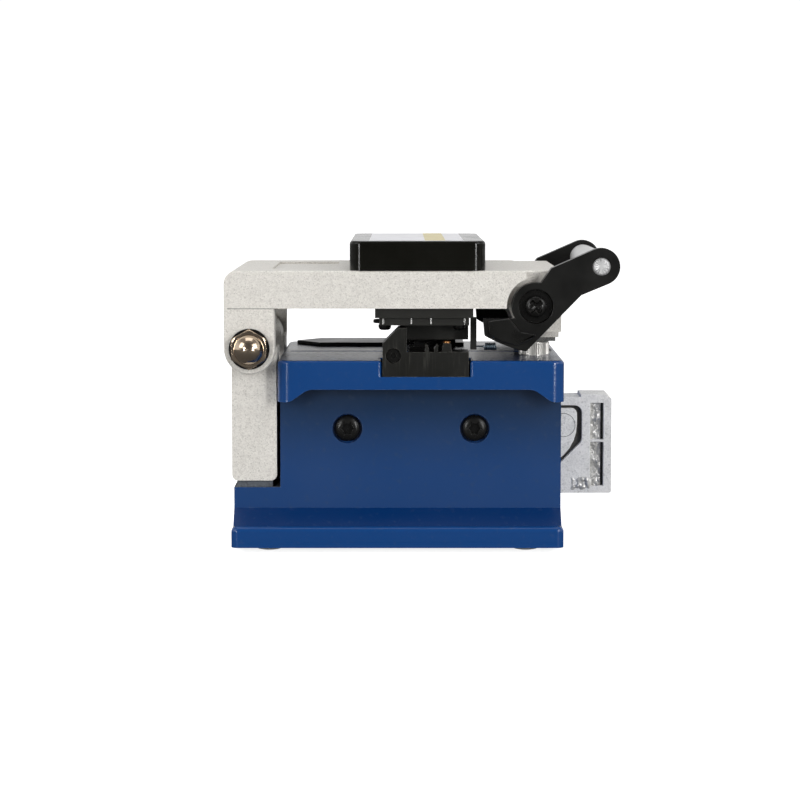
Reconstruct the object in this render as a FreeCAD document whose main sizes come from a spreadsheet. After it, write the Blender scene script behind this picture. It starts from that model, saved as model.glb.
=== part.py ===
import FreeCAD, Part
import math
import os
import re

import Sketcher

# A bench fibre cleaver.  A waisted cast base carries a hinged arm at the rear, a bail
# handle lifts the arm off its magnets at the front, and a slider on a linear rail takes
# the scoring blade under the fibre.
# Millimetres.  +X points to the user, the fibre lies along Y, +Z is up.  The pieces are
# built about the centre of the base flange, on the plane of the feet, and written about
# the middle of the whole tool's length on that plane.

SIZES = {
    # The files' origin, this far in front of the flange's centre
    "origin_front": 5.0,
    # Base casting
    "base_length": 65.6,
    "base_width": 60.0,
    "foot_gap": 1.0,
    "flange_thick": 4.2,
    "flange_corner": 1.5,
    "flange_edge": 1.1,
    "web_inset": 0.4,
    "wall_recess": 5.0,
    "cove_reach": 3.6,
    "cove_rise": 3.2,
    "ledge_length": 9.2,
    "ledge_top": 12.5,
    "seat_rise": 1.3,
    "seat_inset": 1.2,
    "body_top": 38.0,
    "top_flange_thick": 5.7,
    "flange_drop": 2.5,
    "drop_flat": 2.4,
    "drop_run": 3.6,
    "drop_round": 3.0,
    "body_corner": 2.6,
    "body_edge": 0.7,
    "ceiling_thick": 3.0,
    "front_wall": 4.0,
    "rear_wall": 2.4,
    "near_wall": 4.0,
    "slider_floor_gap": 0.9,
    # Rail, its two side screws and its carriage
    "rail_drop": 7.1,
    "rail_pitch": 25.2,
    "rail_middle": 2.7,
    "rail_rear_room": 0.4,
    "rail_front_room": 2.6,
    "rail_width": 9.0,
    "rail_thick": 6.5,
    "rail_shoulder": 2.275,
    "rail_neck": 3.9,
    "rail_waist": 0.9,
    "slide_gap": 0.15,
    "carriage_length": 20.0,
    "carriage_back": 14.0,
    "carriage_width": 18.0,
    "carriage_thick": 8.4,
    "carriage_lift": 1.6,
    "side_screw_head": 2.6,
    "side_screw_head_thick": 1.7,
    "side_screw_shank": 1.5,
    "side_screw_bite": 5.2,
    "head_room": 0.35,
    "sink_depth": 1.5,
    # Feet
    "foot_end_inset": 7.3,
    "foot_side_inset": 6.5,
    "foot_radius": 2.9,
    "foot_contact": 1.6,
    "foot_sunk": 1.2,
    # Hinge
    "bracket_screw_inset": 4.5,
    "bracket_screw_side": 15.0,
    "bracket_screw_head": 3.5,
    "bracket_screw_head_thick": 4.0,
    "bracket_screw_shank": 2.0,
    "bracket_screw_bite": 8.0,
    "bracket_screw_sunk": 5.5,
    "hinge_inset": 3.8,
    "hinge_drop": 7.9,
    "hinge_pin": 2.0,
    "hinge_fit": 0.05,
    "ear_radius": 5.0,
    "ear_gap": 0.3,
    "knuckle_radius": 4.4,
    "bracket_front_gap": 0.3,
    "spring_bay": 27.0,
    "spring_wire": 0.45,
    "spring_coil": 2.85,
    "spring_pitch": 1.5,
    "spring_turns": 7.0,
    "bay_depth": 6.3,
    "washer_radius": 4.0,
    "washer_thick": 0.6,
    "nut_across": 7.0,
    "nut_hex_height": 1.6,
    "nut_dome_radius": 3.0,
    "nut_dome_sunk": 0.3,
    "nut_dome_start": 0.4,
    "nut_flare": 1.2,
    "nut_crown": 0.1,
    # Arm
    "side_front_back": 1.9,
    "core_reach": 5.2,
    "arm_room": 10.2,
    "arm_thick": 7.4,
    "arm_rear_round": 2.5,
    "arm_edge": 0.4,
    "arm_core_gap": 0.4,
    "nose_length": 10.4,
    "nose_slope": 2.08,
    "nose_drop": 4.8,
    "lip_length": 8.4,
    "lip_half_width": 17.0,
    "lip_drop": 1.6,
    "panel_length": 12.6,
    "panel_width": 38.0,
    "panel_depth": 0.4,
    "panel_rear": 25.0,
    "window_margin": 2.6,
    # Cap over the anvil mechanism
    "cap_rear": 9.35,
    "cap_length": 26.6,
    "cap_height": 5.9,
    "cap_corner": 2.6,
    "cap_edge": 0.7,
    "cap_wall": 1.2,
    # Housing under the arm
    "housing_rear": 4.4,
    "housing_length": 19.3,
    "housing_side_inset": 1.2,
    "housing_plate_thick": 1.9,
    "housing_step": 0.8,
    "housing_block_thick": 1.5,
    "housing_screw_rear": -2.5,
    "housing_screw_front": 12.2,
    "housing_screw_inset": 5.5,
    "housing_screw_head": 1.25,
    "housing_screw_head_thick": 1.1,
    "housing_screw_shank": 0.8,
    "housing_screw_length": 6.0,
    "anchor_reach": 0.7,
    "anchor_length": 1.2,
    "anchor_inset": 4.8,
    "anchor_thick": 1.4,
    "anchor_drop": 0.6,
    "tension_rise": 2.5,
    "tension_wire": 0.15,
    "tension_coil": 0.6,
    "tension_lead": 1.6,
    "tension_turns": 6.0,
    "tension_pitch": 0.36,
    # Fibre line, blade and clamps
    "fibre_line": 6.7,
    "fibre_rise": 2.75,
    "pad_gap": 0.25,
    "pad_length": 6.6,
    "pad_thick": 0.8,
    "pad_seat_margin": 1.0,
    "pad_inset": 0.4,
    "near_pad_start": -14.0,
    "near_pad_end": -5.2,
    "far_pad_start": 1.2,
    "far_pad_end": 10.0,
    "anvil_start": -3.7,
    "anvil_end": -0.3,
    "anvil_rest_gap": 0.65,
    "anvil_tip_half": 1.6,
    "anvil_tip_thick": 1.2,
    "stem_half": 2.5,
    "stem_rise": 1.8,
    "clamp_rear": 0.6,
    "clamp_length": 13.4,
    "clamp_reach": 5.0,
    "clamp_inner": 0.6,
    "clamp_lift_room": 0.9,
    "curtain_rear": 0.4,
    "curtain_length": 13.7,
    "curtain_side_gap": 0.7,
    "curtain_thick": 1.5,
    "curtain_gap": 0.85,
    "plunger_spring_coil": 1.6,
    "plunger_spring_wire": 0.25,
    "plunger_spring_turns": 5.0,
    "blade_plane": -2.0,
    "blade_radius": 9.0,
    "blade_thick": 1.0,
    "blade_edge": 0.8,
    "blade_rest": 5.2,
    "blade_clear": 0.45,
    "slot_width": 1.9,
    "slot_rear_inset": 1.6,
    "slot_front_inset": 4.6,
    "hub_radius": 3.2,
    "hub_flange": 0.8,
    "hub_socket": 1.2,
    "hub_socket_deep": 0.9,
    "lug_foot_half": 5.12,
    "lug_top_half": 3.52,
    "axle_radius": 1.9,
    "shaft_fit": 0.04,
    # Slider
    "carriage_screw_head": 1.7,
    "carriage_screw_head_thick": 1.5,
    "carriage_screw_shank": 1.0,
    "carriage_screw_bite": 3.0,
    "carriage_screw_pitch": 10.0,
    "carriage_screw_rise": 6.8,
    "slider_reach": 11.2,
    "slider_drop": 15.3,
    "slider_tall": 19.8,
    "slider_near": 4.6,
    "slider_thick": 10.6,
    "slider_rear": 9.0,
    "slider_edge": 0.5,
    "spine_tall": 12.9,
    "grip_rise": 0.6,
    "grip_back": 6.4,
    "grip_length": 5.6,
    "window_gap": 0.6,
    "dish_back": 6.1,
    "dish_length": 17.0,
    "dish_low_rise": 4.2,
    "dish_high_rise": 18.1,
    "dish_depth": 1.4,
    "dish_corner": 1.6,
    "dish_sweep": 6.5,
    "rib_slot_back": 4.4,
    "rib_slot_length": 2.7,
    "rib_slot_depth": 1.6,
    "rib_low_rise": 1.5,
    "rib_middle_rise": 10.8,
    "rib_high_rise": 18.6,
    "rib_thick": 0.5,
    # Handle
    "pivot_inset": 5.7,
    "pivot_rise": 0.4,
    "pivot_screw": 1.5,
    "pivot_screw_length": 9.0,
    "pivot_fit": 0.05,
    "handle_plate_thick": 3.4,
    "handle_boss": 4.7,
    "handle_end_radius": 3.65,
    "bar_reach": 12.8,
    "bar_rise": 7.8,
    "handle_bar_radius": 2.7,
    "handle_rivet": 1.75,
    "bar_end_cone": 0.5,
    "bar_end_sunk": 0.1,
    "toe_reach": 10.3,
    "toe_drop": 2.4,
    "heel_drop": 5.7,
    "heel_step": 0.3,
    "toe_tip_back": 1.9,
    "toe_gap": 1.8,
    "toe_bulge": 0.35,
    "shoulder_reach": 3.0,
    "shoulder_rise": 7.5,
    "handle_notch": 1.0,
    "recess_radius": 3.35,
    "recess_depth": 1.6,
    "pan_head": 2.1,
    "pan_head_thick": 1.5,
    "thin_washer": 0.5,
    # Guide block beside the blade, in a notch of the base
    "guide_rear": 2.9,
    "guide_length": 16.9,
    "guide_deep": 8.2,
    "guide_sunk": 3.2,
    "guide_gap": 0.2,
    "shelf_rise": 1.7,
    "tower_gap": 0.4,
    "tower_width": 4.7,
    "tower_slope": 3.1,
    "guide_screw_front": 2.115,
    "guide_screw_thick": 0.9,
    "guide_pocket_width": 3.6,
    "hook_rise": 1.45,
    "hook_thick": 0.75,
    "hook_throat": 0.58,
    "hook_tip": 0.45,
    "vee_half_width": 0.5,
    "boss_rear": 8.7,
    "boss_width": 2.0,
    "boss_rise": 1.7,
    "boss_inset": 0.3,
    "boss_taper": 0.3,
    "adjuster_radius": 0.75,
    "adjuster_flat": 0.525,
    "adjuster_rim": 0.25,
    "adjuster_thick": 0.4,
    # Magnet posts and keepers
    "post_reach": 0.5,
    "post_side": 12.0,
    "post_radius": 3.5,
    "keeper_thick": 0.8,
    "keeper_gap": 0.3,
    "keeper_margin": 0.6,
    # Fibre holder seat on the far side
    "seat_plate_inset": 2.1,
    "seat_plate_front": 14.0,
    "seat_plate_start": 13.0,
    "seat_plate_width": 15.6,
    "seat_plate_thick": 0.8,
    "seat_plate_taper": 5.0,
    "seat_block_rise": 2.2,
    "seat_block_length": 11.0,
    "groove_half_width": 0.7,
}

# Places that follow from the sizes, each bound to the sheet.
LEVELS = {
    "hinge_back": "base_length / 2 - hinge_inset",
    "bracket_screw_back": "base_length / 2 - bracket_screw_inset",
    "pivot_front": "base_length / 2 - pivot_inset",
    "slot_front": "base_length / 2 - slot_front_inset",
    "slot_rear": "base_length / 2 - ledge_length - slot_rear_inset",
    "rail_start": "ledge_length + rear_wall + rail_rear_room - base_length / 2",
    "rail_end": "base_length / 2 - front_wall - rail_front_room",
    "foot_span_length": "base_length - 2 * foot_end_inset",
    "foot_span_width": "base_width - 2 * foot_side_inset",
    "slider_front": "base_length / 2 + slider_reach",
    "grip_rear": "slider_front - grip_back",
    "dish_front": "slider_front - dish_back",
    "rib_slot_rear": "slider_front - rib_slot_back",
    "seat_plate_rear": "base_length / 2 - ledge_length - seat_plate_inset",
    "anchor_side": "base_width / 2 - anchor_inset",
    "housing_screw_side": "base_width / 2 - housing_screw_inset",
    "curtain_start": "clamp_reach - near_pad_start + curtain_side_gap",
    "arm_under": "body_top + arm_room",
    "arm_top": "arm_under + arm_thick",
    "fibre_height": "body_top + fibre_rise",
    "hinge_height": "arm_under - hinge_drop",
    "bay_floor": "hinge_height - bay_depth",
    "arm_rear": "hinge_back + ear_radius",
    "arm_side_front": "pivot_front - side_front_back",
    "arm_core_front": "pivot_front + core_reach",
    "nose_bottom": "arm_under - nose_drop",
    "lip_bottom": "nose_bottom - lip_drop",
    "stem_top": "arm_under + stem_rise",
    "curtain_bottom": "fibre_height + curtain_gap",
    "tension_height": "body_top + tension_rise",
    "anchor_bottom": "tension_height - anchor_drop",
    "anchor_front": "housing_length - housing_rear + anchor_reach",
    "guide_bottom": "body_top - guide_sunk",
    "guide_shelf": "body_top + shelf_rise",
    "guide_tower_top":
        "arm_under - housing_plate_thick - housing_block_thick - tower_gap",
    "rail_height": "fibre_height - blade_clear - blade_radius - rail_drop",
    "slider_bottom": "rail_height - slider_drop",
    "slider_top": "slider_bottom + slider_tall",
    "cavity_floor": "slider_bottom - slider_floor_gap",
    "spine_top": "slider_bottom + spine_tall",
    "dish_bottom": "slider_bottom + dish_low_rise",
    "dish_top": "slider_bottom + dish_high_rise",
    "rib_slot_low": "slider_bottom + rib_low_rise",
    "rib_slot_middle": "slider_bottom + rib_middle_rise",
    "rib_slot_high": "slider_bottom + rib_high_rise",
    "pivot_height": "arm_under + pivot_rise",
    "handle_bar_front": "pivot_front + bar_reach",
    "handle_bar_height": "pivot_height + bar_rise",
    "toe_rear": "pivot_front - toe_reach",
    "toe_top": "pivot_height - toe_drop",
    "toe_heel_rise": "pivot_height - heel_drop",
    "toe_tip_front": "pivot_front - toe_tip_back",
    "toe_tip_height": "body_top + toe_gap",
    "shoulder_front": "pivot_front + shoulder_reach",
    "shoulder_height": "pivot_height + shoulder_rise",
    "post_front": "pivot_front + post_reach",
}

doc = FreeCAD.newDocument("fibre_cleaver")
sheet = doc.addObject("Spreadsheet::Sheet", "Sizes")
for row, (word, value) in enumerate(SIZES.items(), start=1):
    sheet.set(f"A{row}", word)
    sheet.set(f"B{row}", str(value))
    sheet.setAlias(f"B{row}", word)
doc.recompute()

V = FreeCAD.Vector
ALONG = {"X": V(1, 0, 0), "Y": V(0, 1, 0), "Z": V(0, 0, 1)}
NODES = []

# How near two places count as one, and how far from parallel two directions may be
TOUCH = 0.01
SLANT = 0.001
# Where a sketch's outlines stand before their constraints place them
START_REACH = 50.0
START_CENTRE = (40.0, 30.0)
START_RADIUS = 5.0
# A domed screw head: shares of its height and radius that stay straight and flat
HEAD_RIM = 0.45
HEAD_FLAT = 0.45
DOME_STEPS = 4
# A key socket: shares of the head's radius and thickness
SOCKET_WIDE = 0.45
SOCKET_DEEP = 0.5


# ---------------------------------------------------------------- helpers


def size(word):
    """The value of one named size or level."""
    return float(getattr(levels if word in LEVELS else sheet, word))


def tied(formula):
    """The formula with each size led back to the sheet and each level spelled out."""
    def led_back(found):
        word = found.group(0)
        return f"({tied(LEVELS[word])})" if word in LEVELS else f"Sizes.{word}"
    return re.sub(r"\b[a-z][a-z_]+[a-z]\b", led_back, formula)


def make_levels():
    """The object that holds the levels' values, bound to the sheet."""
    holder = doc.addObject("App::FeaturePython", "Levels")
    for word, formula in LEVELS.items():
        holder.addProperty("App::PropertyFloat", word)
        holder.setExpression(word, tied(formula))
    doc.recompute()
    return holder


def node(thing, label):
    """Mark a finished sub-part, whose label names its file."""
    thing.Label = label
    NODES.append(thing)
    return thing


def shaped(label, shape):
    """A sub-part whose shape is made with Part's own functions."""
    thing = doc.addObject("Part::Feature", label)
    thing.Shape = shape
    return node(thing, label)


def turned(profile, axis="Z", place=V(0, 0, 0)):
    """A solid turned from (radius, height) points about an axis through a place."""
    points = [V(radius, 0, height) for radius, height in profile]
    face = Part.Face(Part.makePolygon(points + points[:1]))
    solid = face.revolve(V(0, 0, 0), ALONG["Z"], 360)
    solid.Placement = FreeCAD.Placement(place, FreeCAD.Rotation(ALONG["Z"], ALONG[axis]))
    return solid


def block(x_span, y_span, z_span):
    """A box between three pairs of limits."""
    low = V(x_span[0], y_span[0], z_span[0])
    return Part.makeBox(x_span[1] - x_span[0], y_span[1] - y_span[0],
                        z_span[1] - z_span[0], low)


def rod(radius, start, length, axis="Z"):
    """A round bar from a start point along an axis."""
    return Part.makeCylinder(radius, length, start, ALONG[axis])


def coil_spring(coil, wire, pitch, turns):
    """A coil of square wire about Z, from a radius, half the wire, a pitch and turns."""
    helix = Part.makeHelix(pitch, pitch * turns, coil)
    near, far = coil - wire, coil + wire
    section = Part.makePolygon([V(near, 0, -wire), V(far, 0, -wire), V(far, 0, wire),
                                V(near, 0, wire), V(near, 0, -wire)])
    return Part.Wire(helix.Edges).makePipeShell([section], True, True)


levels = make_levels()


class Circle:
    """A round outline for a sketch, by the formulas of its centre and radius."""

    def __init__(self, across, up, radius):
        self.across = across
        self.up = up
        self.radius = radius


def draw_polygon(sketch, corners):
    """Add a closed outline whose corners are tied to the sheet, each way."""
    count = len(corners)
    first = sketch.GeometryCount
    turn = 2 * math.pi / count
    start = [V(math.cos(turn * i), math.sin(turn * i), 0) * START_REACH
             for i in range(count)]
    for i in range(count):
        sketch.addGeometry(Part.LineSegment(start[i], start[(i + 1) % count]), False)
    for i in range(count):
        after = first + (i + 1) % count
        sketch.addConstraint(Sketcher.Constraint("Coincident", first + i, 2, after, 1))
    for i, (across, up) in enumerate(corners):
        for way, formula, begin in (("DistanceX", across, start[i].x),
                                    ("DistanceY", up, start[i].y)):
            rule = Sketcher.Constraint(way, -1, 1, first + i, 1, begin)
            number = sketch.addConstraint(rule)
            sketch.setExpression(f"Constraints[{number}]", tied(formula))


def draw_circle(sketch, circle):
    """Add a circle whose centre and radius are tied to the sheet."""
    number = sketch.addGeometry(
        Part.Circle(V(*START_CENTRE, 0), ALONG["Z"], START_RADIUS), False)
    for way, formula, begin in (("DistanceX", circle.across, START_CENTRE[0]),
                                ("DistanceY", circle.up, START_CENTRE[1])):
        rule = sketch.addConstraint(Sketcher.Constraint(way, -1, 1, number, 3, begin))
        sketch.setExpression(f"Constraints[{rule}]", tied(formula))
    rule = sketch.addConstraint(Sketcher.Constraint("Radius", number, START_RADIUS))
    sketch.setExpression(f"Constraints[{rule}]", tied(circle.radius))


class Piece:
    """A PartDesign body built up by pads and pockets on its own origin planes."""

    def __init__(self, label):
        self.body = doc.addObject("PartDesign::Body", label)
        self.label = label
        self.count = 0
        node(self.body, label)

    def _feature(self, kind, plane, start, end, outlines):
        self.count += 1
        role = f"{plane}_Plane"
        face = [f for f in self.body.Origin.OriginFeatures if f.Role == role][0]
        sketch = self.body.newObject("Sketcher::SketchObject", f"{self.label}_s{self.count}")
        sketch.AttachmentSupport = [(face, "")]
        sketch.MapMode = "FlatFace"
        level = f"-({start})" if plane == "XZ" else start
        sketch.setExpression("AttachmentOffset.Base.z", tied(level))
        for outline in outlines:
            if isinstance(outline, Circle):
                draw_circle(sketch, outline)
            else:
                draw_polygon(sketch, outline)
        feature = self.body.newObject(f"PartDesign::{kind}", f"{self.label}_f{self.count}")
        feature.Profile = sketch
        feature.Reversed = (kind == "Pad") == (plane == "XZ")
        feature.setExpression("Length", tied(f"({end}) - ({start})"))
        volume = self.body.Shape.Volume if self.count > 1 else 0.0
        doc.recompute()
        if abs(self.body.Shape.Volume - volume) < 1e-6:
            raise RuntimeError(f"{feature.Name} changes nothing")
        return feature

    def pad(self, plane, start, end, *outlines):
        """Add material between two levels along the plane's own axis."""
        return self._feature("Pad", plane, start, end, outlines)

    def pocket(self, plane, start, end, *outlines):
        """Cut material between two levels along the plane's own axis."""
        return self._feature("Pocket", plane, start, end, outlines)

    def dress(self, kind, word, chooser):
        """Round or bevel each edge that the chooser picks."""
        base = self.body.Tip
        edges = [f"Edge{i}" for i, edge in enumerate(base.Shape.Edges, start=1)
                 if chooser(edge)]
        if not edges:
            raise RuntimeError(f"{self.label}: no edge for {word}")
        self.count += 1
        feature = self.body.newObject(f"PartDesign::{kind}", f"{self.label}_f{self.count}")
        feature.Base = (base, edges)
        feature.setExpression("Radius" if kind == "Fillet" else "Size", tied(word))
        doc.recompute()
        return feature


def runs(edge, axis):
    """Whether a straight edge lies along the axis."""
    if not isinstance(edge.Curve, Part.Line):
        return False
    return 1 - abs(edge.tangentAt(edge.FirstParameter).dot(ALONG[axis])) < SLANT


def within(edge, x=None, y=None, z=None):
    """Whether an edge's middle has the coordinates given, each a number or a pair."""
    box = edge.BoundBox
    for wanted, found in ((x, box.Center.x), (y, box.Center.y), (z, box.Center.z)):
        if wanted is None:
            continue
        low, high = wanted if isinstance(wanted, tuple) else (wanted, wanted)
        if found < low - TOUCH or found > high + TOUCH:
            return False
    return True


def rectangle(x_low, x_high, y_low, y_high):
    """Four corners of a rectangle, as pairs of formulas."""
    return [(x_low, y_low), (x_high, y_low), (x_high, y_high), (x_low, y_high)]


def hex_cut(radius, depth, start, axis):
    """A hexagonal key socket from a start point, along an axis."""
    ring = [V(radius * math.cos(math.radians(60 * i)),
              radius * math.sin(math.radians(60 * i)), 0) for i in range(7)]
    socket = Part.Face(Part.makePolygon(ring)).extrude(V(0, 0, depth))
    turn = FreeCAD.Rotation(ALONG["Z"], axis)
    socket.Placement = FreeCAD.Placement(start, turn)
    return socket


def key_socket(head, thick, start, axis):
    """The key socket of a screw head, from the head's outer face."""
    return hex_cut(SOCKET_WIDE * head, SOCKET_DEEP * thick, start, axis)


def headed_screw(head, head_thick, shank, length, place, outward, socket=True):
    """A screw with a domed head on a place, its head pointing outward."""
    rim = head_thick * HEAD_RIM
    profile = [(0, -length), (shank, -length), (shank, 0), (head, 0), (head, rim)]
    for i in range(1, DOME_STEPS + 1):
        angle = math.pi / 2 * i / DOME_STEPS
        profile.append((head * (HEAD_FLAT + (1 - HEAD_FLAT) * math.cos(angle)),
                        rim + (head_thick - rim) * math.sin(angle)))
    profile.append((0, head_thick))
    points = [V(radius, 0, height) for radius, height in profile]
    face = Part.Face(Part.makePolygon(points + points[:1]))
    screw = face.revolve(V(0, 0, 0), ALONG["Z"], 360)
    if socket:
        screw = screw.cut(key_socket(head, head_thick, V(0, 0, head_thick), -ALONG["Z"]))
    screw.Placement = FreeCAD.Placement(place, FreeCAD.Rotation(ALONG["Z"], outward))
    return screw


# ---------------------------------------------------------------- levels

# Places that several sub-parts share, as formulas of the sheet's sizes.
HALF_LONG = "base_length / 2"
HALF_WIDE = "base_width / 2"
EAR_INNER = "(base_width / 2 - wall_recess + ear_gap)"
FLANGE_TOP = "foot_gap + flange_thick"
WALL = "base_width / 2 - wall_recess"
BODY_REAR = "(-base_length / 2 + ledge_length)"
FLANGE_UNDER = "(body_top - top_flange_thick)"
CEILING = "body_top - ceiling_thick"
CAVITY_NEAR = "(-base_width / 2 + wall_recess + near_wall)"
SLIDER_FAR = "(slider_thick - slider_near)"
BLADE_HEIGHT = "(fibre_height - blade_clear - blade_radius)"
CARRIAGE_REAR = "(blade_rest - carriage_back)"
CARRIAGE_FAR = f"({CAVITY_NEAR} + carriage_lift + carriage_thick)"
ARM_UNDER = "arm_under"
CORE_SIDE = "(base_width / 2 - handle_plate_thick - arm_core_gap)"
HOUSING_REAR = "-housing_rear"
HOUSING_FRONT = "(housing_length - housing_rear)"
HOUSING_SIDE = "(base_width / 2 - housing_side_inset)"
PLATE_UNDER = f"({ARM_UNDER} - housing_plate_thick)"
BLOCK_UNDER = f"({PLATE_UNDER} - housing_block_thick)"
STEM_ROWS = (("near_pad_start", "near_pad_end"), ("anvil_start", "anvil_end"),
             ("far_pad_start", "far_pad_end"))


# ---------------------------------------------------------------- base


def make_base_casting():
    """The cast base: flange, waisted body, top flange with dropped ends, slider bay."""
    base = Piece("base_casting")
    half_long = size("base_length") / 2
    half_wide = size("base_width") / 2
    body_rear = -half_long + size("ledge_length")
    top = size("body_top")
    under = top - size("top_flange_thick")
    flange_top = size("foot_gap") + size("flange_thick")

    base.pad("XY", "foot_gap", FLANGE_TOP,
             rectangle(f"-{HALF_LONG}", HALF_LONG, f"-{HALF_WIDE}", HALF_WIDE))
    base.dress("Fillet", "flange_corner", lambda e: runs(e, "Z"))
    base.dress("Fillet", "flange_edge", lambda e: abs(e.BoundBox.ZMin - flange_top) < TOUCH)
    reach = f"{WALL} + cove_reach"
    base.pad("YZ", f"-{HALF_LONG} + web_inset", f"{HALF_LONG} - web_inset",
             [(f"-({reach})", FLANGE_TOP), (reach, FLANGE_TOP),
              (WALL, f"{FLANGE_TOP} + cove_rise"), (WALL, "ledge_top"),
              (f"-({WALL})", "ledge_top"), (f"-({WALL})", f"{FLANGE_TOP} + cove_rise")])
    base.pad("XY", "ledge_top", FLANGE_UNDER,
             rectangle(f"{BODY_REAR} + web_inset", f"{HALF_LONG} - web_inset",
                       f"-({WALL})", WALL))
    base.pad("XY", FLANGE_UNDER, "body_top",
             rectangle(BODY_REAR, HALF_LONG, f"-{HALF_WIDE}", HALF_WIDE))
    for end, sign in ((BODY_REAR, "+"), (HALF_LONG, "-")):
        base.pad("XZ", f"-{HALF_WIDE}", HALF_WIDE,
                 [(end, FLANGE_UNDER), (end, f"{FLANGE_UNDER} - flange_drop"),
                  (f"{end} {sign} drop_flat", f"{FLANGE_UNDER} - flange_drop"),
                  (f"{end} {sign} (drop_flat + drop_run)", FLANGE_UNDER)])
    low = under - size("flange_drop")
    flat = size("drop_flat")
    run = flat + size("drop_run")
    knees = [body_rear + flat, body_rear + run, half_long - flat, half_long - run]
    base.dress("Fillet", "drop_round", lambda e: runs(e, "Y")
               and any(within(e, x=knee, z=(low, under)) for knee in knees)
               and abs(e.BoundBox.Center.y) > size("base_width") / 2 - size("wall_recess"))
    base.dress("Fillet", "body_corner",
               lambda e: runs(e, "Z") and abs(abs(e.BoundBox.Center.y) - half_wide) < TOUCH
               and e.BoundBox.ZMax > top - TOUCH)
    base.dress("Fillet", "body_edge", lambda e: e.BoundBox.ZMin > top - TOUCH)
    base.pad("XY", "ledge_top", "ledge_top + seat_rise",
             rectangle(f"-{HALF_LONG} + seat_inset", f"{BODY_REAR} - seat_inset",
                       f"-({WALL} - seat_inset)", f"{WALL} - seat_inset"))
    base.pocket("YZ", f"{BODY_REAR} + rear_wall", f"{HALF_LONG} - front_wall",
                rectangle(CAVITY_NEAR, f"{SLIDER_FAR} + window_gap + head_room",
                          "cavity_floor", CEILING))
    base.pocket("YZ", f"{HALF_LONG} - front_wall", HALF_LONG,
                rectangle("-slider_near - window_gap", f"{SLIDER_FAR} + window_gap",
                          "slider_bottom - window_gap",
                          "slider_top + grip_rise + window_gap"))
    base.pocket("XY", CEILING, "body_top",
                rectangle("-slot_rear", "slot_front", "blade_plane - slot_width / 2",
                          "blade_plane + slot_width / 2"))
    base.pocket("XY", "guide_bottom", "body_top",
                rectangle("-guide_rear - guide_gap",
                          "guide_length - guide_rear + guide_gap",
                          f"-{HALF_WIDE}", f"-{HALF_WIDE} + guide_deep + guide_gap"))
    notch_ends = [-size("guide_rear") - size("guide_gap"),
                  size("guide_length") - size("guide_rear") + size("guide_gap")]
    base.dress("Fillet", "cap_edge", lambda e: runs(e, "Y")
               and any(within(e, x=end, z=top) for end in notch_ends))
    screws = [f"rail_middle {sign} rail_pitch / 2" for sign in "-+"]
    base.pocket("XZ", f"-({WALL})", f"-({WALL}) + sink_depth",
                *[Circle(x, "rail_height", "side_screw_head + head_room") for x in screws])
    base.pocket("XZ", f"-({WALL}) + sink_depth", CAVITY_NEAR,
                *[Circle(x, "rail_height", "side_screw_shank + pivot_fit")
                  for x in screws])
    bolts = [("-bracket_screw_back", f"{sign} bracket_screw_side") for sign in "-+"]
    base.pocket("XY", "foot_gap", "foot_gap + bracket_screw_sunk",
                *[Circle(x, y, "bracket_screw_head + head_room") for x, y in bolts])
    base.pocket("XY", "foot_gap + bracket_screw_sunk", "ledge_top + seat_rise",
                *[Circle(x, y, "bracket_screw_shank + pivot_fit") for x, y in bolts])
    base.pocket("XY", "foot_gap", "foot_gap + foot_sunk",
                *[Circle(f"{a} foot_span_length / 2", f"{b} foot_span_width / 2",
                         "foot_radius + slide_gap") for a in "-+" for b in "-+"])
    return base


def make_feet():
    """Four soft feet, each domed to a small flat, sunk in the flange."""
    gap, sunk = size("foot_gap"), size("foot_sunk")
    rim, flat = size("foot_radius"), size("foot_contact")
    dome = [(flat + (rim - flat) * math.sin(math.radians(a)),
             gap * (1 - math.cos(math.radians(a)))) for a in (0, 30, 60, 90)]
    profile = [(0, 0)] + dome + [(rim, gap + sunk), (0, gap + sunk)]
    feet = [turned(profile, "Z", V(a * size("foot_span_length") / 2,
                                   b * size("foot_span_width") / 2, 0))
            for a in (-1, 1) for b in (-1, 1)]
    return shaped("rubber_feet", Part.makeCompound(feet))


def rail_screw_stations():
    """X of the two screws through the side wall into the rail."""
    return [size("rail_middle") + sign * size("rail_pitch") / 2 for sign in (-1, 1)]


def near_wall_face():
    """Y of the near side wall's outer face."""
    return -size("base_width") / 2 + size("wall_recess")


def rail_back():
    """Y of the rail's mounting face."""
    return near_wall_face() + size("near_wall")


def make_rail():
    """The linear rail, waisted where the carriage runs, bored for its two screws."""
    rail = Piece("linear_rail")
    back = CAVITY_NEAR
    half = "rail_width / 2"
    rail.pad("YZ", "rail_start", "rail_end",
             [(back, f"rail_height - {half}"), (f"{back} + rail_shoulder",
                                               f"rail_height - {half}"),
              (f"{back} + rail_neck", f"rail_height - {half} + rail_waist"),
              (f"{back} + rail_thick", f"rail_height - {half}"),
              (f"{back} + rail_thick", f"rail_height + {half}"),
              (f"{back} + rail_neck", f"rail_height + {half} - rail_waist"),
              (f"{back} + rail_shoulder", f"rail_height + {half}"),
              (back, f"rail_height + {half}")])
    rail.pocket("XZ", back, f"{back} + rail_thick",
                *[Circle(f"rail_middle {sign} rail_pitch / 2", "rail_height",
                         "side_screw_shank + hinge_fit") for sign in "-+"])
    return rail


def make_rail_screws():
    """Two socket button screws sunk in the near side wall."""
    seat = near_wall_face() + size("sink_depth")
    length = size("near_wall") - size("sink_depth") + size("side_screw_bite")
    screws = [headed_screw(size("side_screw_head"), size("side_screw_head_thick"),
                           size("side_screw_shank"), length,
                           V(x, seat, size("rail_height")), V(0, -1, 0))
              for x in rail_screw_stations()]
    return shaped("rail_screws", Part.makeCompound(screws))


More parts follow.
